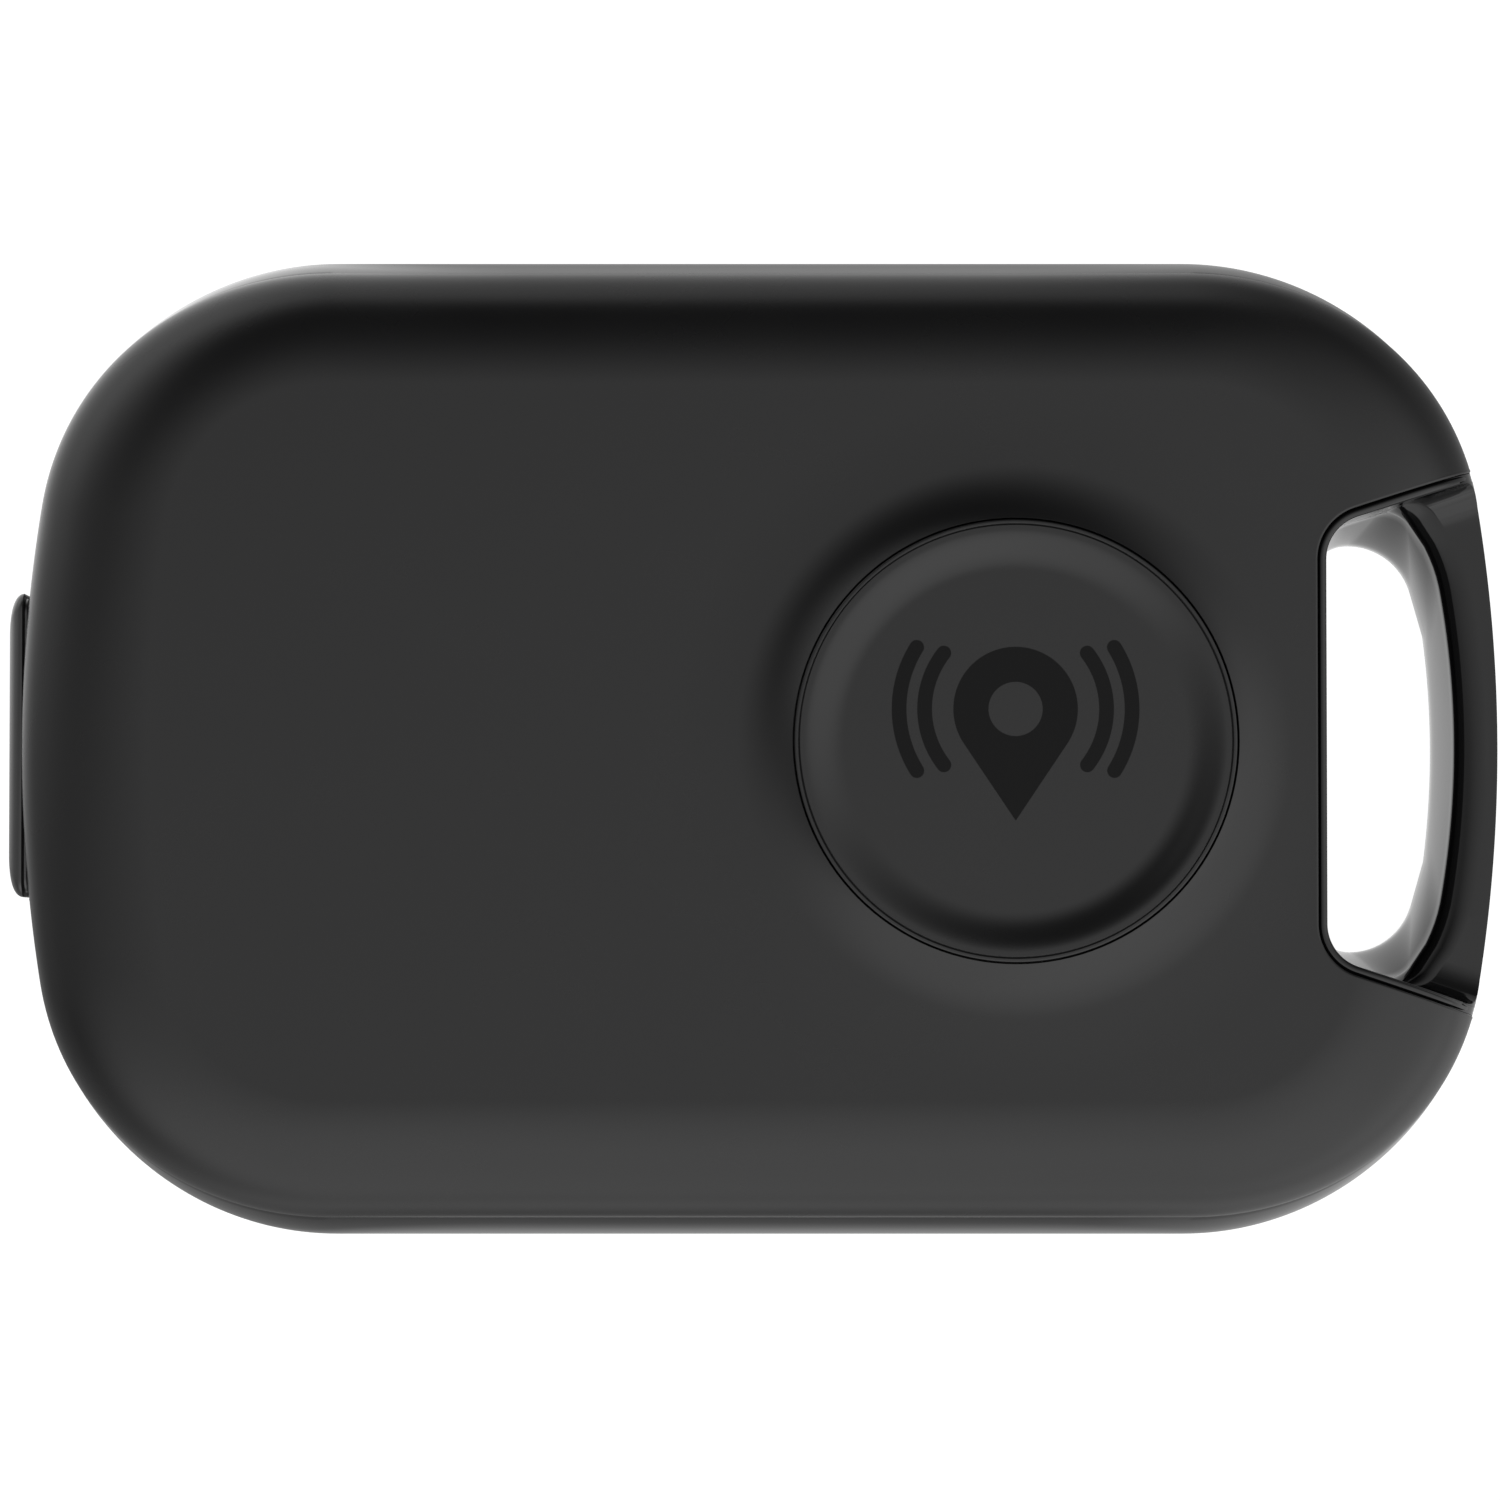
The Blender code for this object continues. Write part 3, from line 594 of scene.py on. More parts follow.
def port_cutters():
    """The cover's recess, the strap's channel, the hole for the receptacle and the strap's slit."""
    gap = 0.07
    frame_ring = port_ring(COVER[1][1] + gap, COVER_HALF_Z + gap)
    recess = turned_to_x(loft("recess", [(frame_ring, -HALF_LENGTH - 1), (frame_ring, WALL_X)]))
    mouth = port_ring(4.1, 1.45, 0.6)
    hole = turned_to_x(loft("hole", [(mouth, -HALF_LENGTH), (mouth, -HALF_LENGTH + 3)]))
    strap_z = (ANCHOR[2][0], PORT_Z + 0.66)
    strap_y = ANCHOR[1][0] - 0.03
    channel = block("channel", (-HALF_LENGTH - 1, WALL_X), (strap_y, -4.5), strap_z, 0.08)
    slit = block("slit", (-HALF_LENGTH, -HALF_LENGTH + 3), (strap_y, ANCHOR[1][0] + 0.57), strap_z)
    return [recess, channel, hole, slit]


def make_lid():
    shell = loft("lid_body", lid_rings())
    end_x = CAVITY_END_X - 0.2
    skirt = prism("skirt", outline(SKIRT_INSET, CAVITY_END_X + 0.55), SEAM_Z - 1, STEP_Z)
    hollow_rings = [(outline(STEP_INSET, end_x), STEP_Z - 0.3)]
    base = STEP_Z + 0.02
    for sine, cosine in quarter_turn(8):
        inset = INNER_FIELD_INSET - (INNER_FIELD_INSET - STEP_INSET) * cosine
        hollow_rings.append((outline(inset, end_x), base + (CEILING_Z - base) * sine))
    hollow = loft("hollow", hollow_rings)
    steps = 40
    radii = [HOLE_R + (MOUND_REACH - 0.05 - HOLE_R) * i / steps for i in range(steps + 1)]
    profile = [(0.0, FIELD_Z + MOUND_H)] + [(r, FIELD_Z + mound_height(r)) for r in radii]
    profile += [(radii[-1], FIELD_Z - 0.4), (0.0, FIELD_Z - 0.4)]
    mound = turned("mound", profile, BUTTON_X, 0)
    top = FIELD_Z + MOUND_H
    hole = [(0.0, top + 1), (HOLE_R + HOLE_FLARE, top + 1)]
    for sine, cosine in reversed(quarter_turn(5)):
        hole.append((HOLE_R + HOLE_FLARE * (1 - cosine), top - HOLE_FLARE + HOLE_FLARE * sine))
    hole += [(HOLE_R, CEILING_Z - 1), (0.0, CEILING_Z - 1)]
    notch = prism("notch", notch_outline(LINER_T + LINER_GAP + LIP_R), SEAM_Z - 1, FIELD_Z + 1)
    carve(shell, [
        ("DIFFERENCE", [skirt, hollow]),
        ("UNION", [mound]),
        ("DIFFERENCE", [turned("hole", hole, BUTTON_X, 0), notch]),
    ])
    return smooth(shell)


def make_cap():
    """The dished cap: flat middle, steep soft dish, rim with a fine groove, flange and centre post."""
    top = CAP[2][1]
    flat_z = top - CAP_DISH
    profile = [(0.0, flat_z)] + [(CAP_FLAT_R * i / 6, flat_z) for i in range(1, 7)]
    for i in range(1, 33):
        share = i / 32
        late = share**1.25
        height = CAP_DISH * late * late * (3 - 2 * late)
        profile.append((CAP_FLAT_R + (CAP_DISH_R - CAP_FLAT_R) * share, flat_z + height))
    profile += [(CAP_GROOVE_R - 0.04, top), (CAP_GROOVE_R, top - 0.035), (CAP_GROOVE_R + 0.04, top)]
    for sine, cosine in quarter_turn(6):
        profile.append((CAP_R - CAP_EDGE_R * (1 - sine), top - CAP_EDGE_R * (1 - cosine)))
    profile += [(CAP_R, 6.15), (7.6, 6.15), (7.6, 5.75), (6.0, 5.75), (6.0, 6.7), (1.6, 6.7), (1.6, 5.5)]
    profile.append((0.0, 5.5))
    return smooth(turned("button_cap_face", profile, BUTTON_X, 0, steps=192), 40)


# ---------------------------------------------------------------- port cover and its strap


def make_cover():
    """Soft bump over the port with a ribbed plug behind it: rings from the plug's nose out to the face."""
    nose = COVER[0][1]
    half_y, half_z = COVER[1][1], COVER_HALF_Z
    rings = [(port_ring(3.6, 1.0), nose), (port_ring(3.78, 1.18), nose - 0.06)]
    for x, rise in ((-0.14, 0.0), (-0.24, 0.07), (-0.34, 0.0), (-0.44, 0.07), (-0.54, 0.0)):
        rings.append((port_ring(3.85 + rise, 1.25 + rise), nose + x))
    rings.append((port_ring(3.85, 1.25), COVER_BACK_X))
    rings.append((port_ring(half_y - 0.05, half_z - 0.05, 0.45), COVER_BACK_X))
    rings.append((port_ring(half_y, half_z), COVER_BACK_X - 0.05))
    groove_x = -23.5
    for x, inset, corner in ((0.1, 0.0, 0.5), (0.03, 0.16, 0.45), (-0.03, 0.16, 0.45), (-0.08, 0.03, 0.5)):
        rings.append((port_ring(half_y - inset, half_z - inset, corner), groove_x + x))
    round_x = groove_x - 0.11
    depth = round_x - COVER[0][0]
    for share, _ in quarter_turn(16):
        fall = math.sqrt(1 - 0.999 * share**2)
        section = port_ring(half_y - 0.9 * (1 - fall), half_z * (0.45 + 0.55 * fall))
        rings.append((section, round_x - depth * share))
    return smooth(turned_to_x(loft("port_cover_moulding", rings), bow=0.004), 50)


def make_strap():
    """The cover's living hinge: a thin web in the wall's channel, thinnest in the middle."""
    start, end = ANCHOR[1][1] + 0.02, COVER[1][0] + 0.3
    steps = 16
    rings = []
    for i in range(steps + 1):
        waist = 0.035 * math.sin(math.pi * i / steps)
        x = (STRAP_X[0] + waist, STRAP_X[1] - waist)
        section = rounded_plan(x, (ANCHOR[2][0] + 0.06, ANCHOR[2][1] - 0.06), 0, 0.05, 4)
        rings.append((section, start + (end - start) * i / steps))
    made = loft("port_cover_strap", rings)
    for vertex in made.data.vertices:
        x, z, y = vertex.co
        vertex.co = (x, y, z)
    return smooth(made, 50)


def make_anchor():
    """The strap's fixed end: a tab through the wall with a barb behind it."""
    x_high = ANCHOR[0][1]
    y_low, y_high = ANCHOR[1][0] + 0.02, ANCHOR[1][1] - 0.12
    z = (ANCHOR[2][0] + 0.06, PORT_Z + 0.6)
    tab = block("port_cover_anchor_moulding", (STRAP_X[0], x_high - 0.3), (y_low, y_high), z, 0.07)
    barb = block("barb", (x_high - 0.45, x_high), ANCHOR[1], (z[0] + 1.05, ANCHOR[2][1]), 0.1)
    return smooth(carve(tab, [("UNION", [barb])]), 40)


# ---------------------------------------------------------------- mark on the button


def add_arc_strip(bm, centre, radius, width, start, end, z_low, z_high, steps=32):
    """Adds a flat strip along an arc, with round ends."""
    side = width / 2
    tip, tail = arc(centre, radius, end, start, 1)
    plan = arc(centre, radius + side, start, end, steps)
    plan += arc(tip, side, end, end + 180, 10)[1:-1]
    plan += arc(centre, radius - side, end, start, steps)
    plan += arc(tail, side, start + 180, start + 360, 10)[1:-1]
    add_loft(bm, [(plan, z_low), (plan, z_high)])


def between(first, last, count):
    """The points that cut a line into count equal parts, without its ends."""
    return [tuple(a + (b - a) * i / count for a, b in zip(first, last)) for i in range(1, count)]


MARK_HEAD = (BUTTON_X, 1.0)
MARK_HEAD_R = 1.95
MARK_HOLE_R = 0.85
MARK_TIP_Y = -2.5
MARK_LINE = 0.46
# Radius of each pair of arcs, and how far they reach in degrees either side of level
MARK_ARCS = ((2.85, 38), (3.65, 32))


def make_mark():
    """A plain location pin with signal arcs either side, as a thin inlay in the cap."""
    flat = CAP[2][1] - CAP_DISH
    z = (flat - 0.03, flat + 0.012)
    lean = math.degrees(math.asin(MARK_HEAD_R / (MARK_HEAD[1] - MARK_TIP_Y)))
    head = arc(MARK_HEAD, MARK_HEAD_R, -lean, 180 + lean, 62)
    tip = (MARK_HEAD[0], MARK_TIP_Y)
    pin = head + between(head[-1], tip, 10) + [tip] + between(tip, head[0], 10)
    head_x, head_y = MARK_HEAD
    turns = [math.atan2(y - head_y, x - head_x) for x, y in pin]
    hole = [(head_x + MARK_HOLE_R * math.cos(a), head_y + MARK_HOLE_R * math.sin(a)) for a in turns]
    bm = bmesh.new()
    add_loft(bm, band(pin, hole, *z), closed=True)
    for radius, spread in MARK_ARCS:
        for side in (0, 180):
            add_arc_strip(bm, MARK_HEAD, radius, MARK_LINE, side - spread, side + spread, *z)
    return smooth(from_bmesh("button_mark", bm), 30)


# ---------------------------------------------------------------- switch and its boot


def make_boot():
    """A silicone dome over the switch: foot on the board, cone and a boss under the cap's post."""
    outside = [(0.0, 5.4), (1.9, 5.4), (2.15, 5.36), (2.3, 5.2), (2.36, 4.98), (2.6, 4.78)]
    outside += [(2.6 + 1.7 * i / 6, 4.78 - 1.06 * i / 6) for i in range(1, 7)]
    outside += [(4.5, 3.63), (4.8, 3.6), (5.45, 3.6), (5.57, 3.55), (5.6, 3.45), (5.6, 3.1)]
    inside = [(4.6, 3.1), (4.45, 3.28), (4.2, 3.42), (2.35, 4.58), (2.1, 4.65), (0.0, 4.65)]
    return smooth(turned("button_boot_moulding", outside + inside, BUTTON_X, 0, steps=96), 40)


def make_dome():
    """The switch's snap dome: a thin dished disc."""
    rise = [(1.35 * i / 16, 3.72 - 0.3 * (i / 16) ** 1.8) for i in range(17)]
    under = [(r, z - 0.06) for r, z in reversed(rise)]
    return smooth(turned("switch_dome_disc", rise + under, BUTTON_X, 0, steps=64), 50)


def make_plunger():
    low, high = node_box("switch_plunger")[2]
    profile = [(0.0, high - 0.05), (0.35, high - 0.02), (0.7, high), (0.8, high - 0.03), (0.85, high - 0.1)]
    profile += [(0.85, low + 0.03), (0.82, low), (0.0, low)]
    return smooth(turned("switch_plunger_stem", profile, BUTTON_X, 0, steps=64), 50)


def make_switch_legs():
    """Four gull-wing legs of the tactile switch, soldered to the board."""
    centre = middle(node_box("switch_base")[0])
    boxes = []
    for side in (-1, 1):
        edge = centre + side * 1.8
        for y in (-1.15, 1.15):
            for low, high, *z in ((-0.05, 0.25, 3.3, 3.4), (0.2, 0.3, 3.02, 3.4), (0.25, 0.75, 3.02, 3.12)):
                x = sorted((edge + side * low, edge + side * high))
                boxes.append((x, around(y, 0.3), z, 0.03))
    return blocks("switch_legs", boxes)


# ---------------------------------------------------------------- small parts on the board


PAD_MARGIN = 0.45


def spread_over(low, high, count):
    """Evenly spaced places between two ends, or the middle for one."""
    if count == 1:
        return [middle((low, high))]
    return [low + (high - low) * i / (count - 1) for i in range(count)]


def make_package(node, name, dimple):
    """A moulded chip body with a shallow dimple at its first corner."""
    x, y, z = node_box(node)
    body = block(name, x, y, z, 0.07)
    spot = (x[0] + 2.2 * dimple, y[1] - 2.2 * dimple)
    above, rim, deep = z[1] + 0.2, z[1] - 0.03, z[1] - 0.08
    bowl = [(0.0, above), (dimple, above), (dimple, rim), (dimple * 0.8, deep), (0.0, deep)]
    return smooth(carve(body, [("DIFFERENCE", [turned("dimple", bowl, *spot, steps=32)])]), 40)


def make_pads(node, name, along_x, along_y, width, reach=0.22):
    """Solder fillets round a chip's foot: how many along each side in X and in Y."""
    x, y, z = node_box(node)
    level = (node_box("pcb")[2][1] - 0.02, z[0] + 0.06)
    boxes = []
    for row, across, count in ((x, y, along_x), (y, x, along_y)):
        for place in spread_over(row[0] + PAD_MARGIN, row[1] - PAD_MARGIN, count):
            for depth in ((across[0] - reach, across[0] + 0.3), (across[1] - 0.3, across[1] + reach)):
                plan = (around(place, width / 2), depth)
                boxes.append((*(plan if row is x else reversed(plan)), level, 0.03))
    return blocks(name, boxes)


def make_can(node, name):
    """A crystal's metal can: a thin foot flange under a drawn lid."""
    x, y, z = node_box(node)
    rings = [(rounded_plan(x, y, 0.0, 0.2), z[0]), (rounded_plan(x, y, 0.0, 0.2), z[0] + 0.1)]
    rings += [(rounded_plan(x, y, 0.1, 0.18), z[0] + 0.13), (rounded_plan(x, y, 0.11, 0.18), z[1] - 0.1)]
    for sine, cosine in quarter_turn(5, 1):
        rings.append((rounded_plan(x, y, 0.11 + 0.09 * (1 - cosine), 0.18), z[1] - 0.1 + 0.1 * sine))
    return smooth(loft(name, rings), 40)


def make_antenna_body():
    x, y, z = node_box("chip_antenna")
    return smooth(block("chip_antenna_body", x, y, z, 0.09), 40)


def make_antenna_element():
    """The antenna's printed meander and its two end caps."""
    x, y, z = node_box("chip_antenna")
    top = (z[1] - 0.01, z[1] + 0.02)
    line = 0.16
    rows = spread_over(y[0] + 0.9, y[1] - 0.9, 9)
    left, right = x[0] + 0.25, x[1] - 0.25
    boxes = [((left, right), around(row, line / 2), top) for row in rows]
    for i, span in enumerate(zip(rows, rows[1:])):
        boxes.append((around(right if i % 2 else left, line / 2), span, top))
    for span in ((y[0] - 0.03, y[0] + 0.5), (y[1] - 0.5, y[1] + 0.03)):
        boxes.append(((x[0] - 0.03, x[1] + 0.03), span, (z[0] - 0.03, z[1] + 0.03), 0.08))
    return blocks("chip_antenna_element", boxes)


def make_inductor():
    """The charger's inductor: a drum core with two square-cornered flanges."""
    x, y, z = node_box("charge_inductor")
    core = rounded_plan(x, y, 0.55, 0.6)
    flange = rounded_plan(x, y, 0.0, 0.35)
    rings = [(flange, z[0]), (flange, z[0] + 0.22), (core, z[0] + 0.24), (core, z[1] - 0.24)]
    rings += [(flange, z[1] - 0.22), (flange, z[1] - 0.06), (rounded_plan(x, y, 0.06, 0.3), z[1])]
    return smooth(loft("charge_inductor_core", rings), 40)


def make_winding():
    """The inductor's copper winding: a stack of round turns."""
    x, y, z = node_box("charge_inductor")
    low, high = z[0] + 0.26, z[1] - 0.26
    turns = 6
    wire_r = (high - low) / turns / 2
    rings = []
    for turn in range(turns):
        for step in range(6):
            a = math.radians(-90 + 180 * step / 6)
            plan = rounded_plan(x, y, 0.3 - wire_r * math.cos(a), 0.6)
            rings.append((plan, low + wire_r * (2 * turn + 1 + math.sin(a))))
    return smooth(loft("charge_inductor_winding", rings), 70)


def make_led():
    x, y, z = node_box("status_led")
    return smooth(block("status_led_lens", x, (y[0] + 0.2, y[1] - 0.2), (z[0] + 0.12, z[1]), 0.12), 50)


def make_led_base():
    x, y, z = node_box("status_led")
    return blocks("status_led_base", [(x, y, (z[0] - 0.05, z[0] + 0.16), 0.03)])


def make_screw(number):
    """A pan-head screw with a cross recess and a threaded shank."""
    x, y, z = node_box(f"pcb_screw_{number}")
    centre = (middle(x), middle(y))
    head = z[1] - 0.45
    profile = [(0.0, z[1])]
    profile += [(0.72 + 0.28 * sine, z[1] - 0.28 * (1 - cosine)) for sine, cosine in quarter_turn(6)]
    profile += [(1.0, head + 0.03), (0.97, head), (0.5, head)]
    pitch = 0.24
    for i in range(8):
        level = head - 0.12 - i * pitch
        profile += [(0.4, level + pitch * 0.3), (0.5, level), (0.4, level - pitch * 0.3)]
    profile += [(0.3, z[0]), (0.0, z[0])]
    body = turned(f"pcb_screw_{number}_driven", profile, *centre, steps=48)
    cross = []
    for long, wide in ((0.5, 0.11), (0.11, 0.5)):
        depth = (z[1] - 0.28, z[1] + 0.3)
        cross.append(block("cross", around(centre[0], long), around(centre[1], wide), depth))
    return smooth(carve(body, [("DIFFERENCE", cross)]), 35)


# Free stretches of the board for the small passive parts: (x, y) ranges in mm, and how many each way
PASSIVE_FIELDS = [
    ((-14.5, -3.0), (10.9, 12.2), 7, 2),
    ((-8.0, 6.5), (-12.6, -11.7), 9, 2),
    ((14.4, 15.3), (-4.0, 7.6), 1, 8),
    ((-19.6, -16.0), (-4.2, 4.4), 2, 5),
]
PASSIVE = (1.0, 0.5, 0.35)


def passive_places():
    places = []
    for x, y, columns, rows in PASSIVE_FIELDS:
        places += [(px, py) for px in spread_over(*x, columns) for py in spread_over(*y, rows)]
    taken = ("usb_shell", "charge_inductor", "charger_ic", "bluetooth_soc", "crystal_main")
    taken += ("battery_board", "battery_lead_positive", "battery_lead_negative")
    for node in taken:
        x, y, _ = node_box(node)
        room_x, room_y = half_span(x) + 0.9, half_span(y) + 0.6
        places = [p for p in places if abs(p[0] - middle(x)) >= room_x or abs(p[1] - middle(y)) >= room_y]
    return places


def make_passives(name, ends):
    """The board's small resistors and capacitors: their bodies, or their tinned ends."""
    foot = node_box("pcb")[2][1] - 0.01
    long, wide, high = PASSIVE
    end_z = (foot - 0.01, foot + high + 0.015)
    boxes = []
    for x, y in passive_places():
        if not ends:
            boxes.append((around(x, long / 2 - 0.2), around(y, wide / 2), (foot, foot + high), 0.03))
            continue
        for end in around(x, long / 2 - 0.07):
            boxes.append((around(end, 0.15), around(y, wide / 2 + 0.02), end_z, 0.06))
    return blocks(name, boxes)


def make_test_pads():
    """Gold test points and screw lands on the board."""
    top = node_box("pcb")[2][1]
    bm = bmesh.new()
    spots = [(x, y, 0.45, 0.0) for x in (9.2, 10.6, 12.0) for y in (8.2, -8.2)]
    for number in range(1, 5):
        box = node_box(f"pcb_screw_{number}")
        spots.append((middle(box[0]), middle(box[1]), 1.25, 0.72))
    for x, y, radius, bore in spots:
        outer, inner = (arc((x, y), reach, 0, 348, 29) for reach in (radius, max(bore, 0.01)))
        add_loft(bm, band(outer, inner, top - 0.01, top + 0.025), closed=True)
    return from_bmesh("pcb_lands", bm)


# ---------------------------------------------------------------- receptacle


def make_contacts():
    """Five sprung contacts on the receptacle's tongue."""
    x = node_box("usb_tongue")[0]
    boxes = []
    for place in spread_over(-1.3, 1.3, 5):
        boxes.append(((x[0] + 0.25, x[1] - 0.9), around(place, 0.16), (PORT_Z - 0.01, PORT_Z + 0.07), 0.02))
        boxes.append(((x[1] - 0.1, x[1] + 0.55), around(place, 0.16), (PORT_Z - 0.3, PORT_Z - 0.2), 0.02))
    return blocks("usb_contacts", boxes)


# ---------------------------------------------------------------- battery


def make_pouch():
    """The cell's laminated pouch: drawn soft-edged body, a little crowned."""
    x, y, z = node_box("battery_cell")
    rings = []
    for i in range(25):
        a = math.radians(-90 + 180 * i / 24)
        plan = rounded_plan(x, y, 0.55 * (1 - math.cos(a)) ** 1.2, 0.9, 8)
        rings.append((plan, middle(z) + half_span(z) * math.sin(a)))
    return smooth(loft("battery_pouch", rings), 60)


def make_pouch_seals():
    """The pouch's folded side seals and its top seal under the protection board."""
    x, y, z = node_box("battery_cell")
    board = node_box("battery_board")
    boxes = []
    for side in ((x[0] + 0.02, x[0] + 0.16), (x[1] - 0.16, x[1] - 0.02)):
        boxes.append((side, (y[0] + 0.7, y[1] - 0.6), (z[0] + 0.3, z[1] - 0.35), 0.05))
    under_board = (board[2][0] - 0.16, board[2][0] - 0.04)
    boxes.append(((x[0] + 0.8, x[1] - 0.8), (y[1] - 0.2, board[1][1] - 0.3), under_board, 0.04))
    return blocks("battery_pouch_seals", boxes)


def make_cell_tape():
    """An amber tape strip that ties the protection board to the pouch."""
    _, y, z = node_box("battery_cell")
    board_x, board_y, board_z = node_box("battery_board")
    path = [(y[1] - 2.2, z[1] - 0.02), (y[1] - 1.0, z[1] - 0.03), (y[1] - 0.35, z[1] - 0.35)]
    path += [(board_y[0] + 0.1, board_z[1] + 0.35), (board_y[0] + 0.6, board_z[1] + 0.12)]
    path.append((board_y[1] - 0.4, board_z[1] + 0.1))
    bm = bmesh.new()
    rows = [add_level(bm, [(board_x[0] + 0.6, py), (board_x[1] - 3.6, py)], pz) for py, pz in path]
    for first, second in zip(rows, rows[1:]):
        bm.faces.new((first[0], first[1], second[1], second[0]))
    made = from_bmesh("battery_tape_strip", bm)
    sheet = made.modifiers.new("Sheet", "SOLIDIFY")
    sheet.thickness = 0.06 * MM
    sheet.offset = 0.0
    return smooth(made, 60)


def make_cell_board_parts():
    """The protection board's two chips."""
    x, y, z = node_box("battery_board")
    boxes = []
    for place, long in ((x[0] + 5.6, 1.6), (x[0] + 7.7, 1.0)):
        boxes.append((around(place, long / 2), (y[0] + 0.5, y[1] - 0.5), (z[1] - 0.02, z[1] + 0.45), 0.05))
    return blocks("battery_board_parts", boxes)


def bent(points, steps=6):
    """A smooth route through points (Catmull-Rom)."""
    ends = [points[0]] + points + [points[-1]]
    route = []
    for a, b, c, d in zip(ends, ends[1:], ends[2:], ends[3:]):
        for i in range(steps):
            t = i / steps
            spot = []
            for p, q, r, s in zip(a, b, c, d):
                square, cube = 2 * p - 5 * q + 4 * r - s, 3 * q - p - 3 * r + s
                spot.append(0.5 * (2 * q + (r - p) * t + square * t * t + cube * t**3))
            route.append(tuple(spot))
    return route + [points[-1]]


def make_lead(node, name):
    """A battery lead that drops from the protection board to the circuit board."""
    x, y, z = node_box(node)
    radius = half_span(x)
    length = y[1] - radius - y[0]
    drop = [(0.0, 4.3), (0.5, 4.24), (0.88, 4.02), (1.0, 3.7), (1.0, z[0])]
    route = [(middle(x), y[0] + share * length, level) for share, level in drop]
    return tube(name, bent(route), radius, sides=5)


def make_solder():
    """Solder cones where the battery leads meet the board."""
    top = node_box("pcb")[2][1]
    pieces = []
    for number, node in enumerate(("battery_lead_positive", "battery_lead_negative")):
        x, y, z = node_box(node)
        profile = [(0.0, z[0] + 0.05), (0.2, z[0] + 0.04), (0.26, top + 0.16), (0.36, top + 0.07)]
        profile += [(0.55, top - 0.01), (0.0, top - 0.01)]
        pieces.append(turned(f"lead_joint_{number}", profile, middle(x), y[1] - half_span(x), steps=32))
    return smooth(carve(pieces[0], [("UNION", pieces[1:])]), 60)


# ---------------------------------------------------------------- sounder


def make_disc(node, name, edge=0.03):
    """A thin disc with rounded edges."""
    x, y, z = node_box(node)
    radius = half_span(x)
    profile = [(0.0, z[1]), (radius * 0.5, z[1]), (radius - edge, z[1])]
    profile += [(radius - edge * 0.3, z[1] - edge * 0.3), (radius, z[1] - edge)]
    profile += [(radius, z[0] + edge), (radius - edge, z[0]), (0.0, z[0])]
    return smooth(turned(name, profile, middle(x), middle(y)), 50)


def make_electrode():
    """The silvered electrode on the sounder's ceramic, short of its edge."""
    x, y, z = node_box("piezo_ceramic")
    radius = half_span(x) - 0.45
    top, foot = z[1] + 0.02, z[1] - 0.03
    profile = [(0.0, top), (radius, top), (radius + 0.02, z[1]), (radius, foot), (0.0, foot)]
    return smooth(turned("piezo_electrode", profile, middle(x), middle(y)), 50)


# ---------------------------------------------------------------- materials


def feed(tree, node, inputs):
    """Sets a node's inputs. Each takes another node's socket, or a value."""
    for socket, value in inputs.items():
        if isinstance(value, bpy.types.NodeSocket):
            tree.links.new(value, node.inputs[socket])
        else:
            node.inputs[socket].default_value = value
    return node


def shader_node(tree, kind, inputs):
    return feed(tree, tree.nodes.new("ShaderNode" + kind), inputs)


def mixed(tree, factor, first, second):
    """A mix of two colours, each a tuple, a grey level or a socket."""
    node = tree.nodes.new("ShaderNodeMix")
    node.data_type = "RGBA"
    colours = {}
    for socket, value in (("A", first), ("B", second)):
        if isinstance(value, float):
            value = (value,) * 3
        colours[socket] = (*value, 1) if isinstance(value, tuple) else value
    return feed(tree, node, {"Factor": factor, **colours}).outputs["Result"]


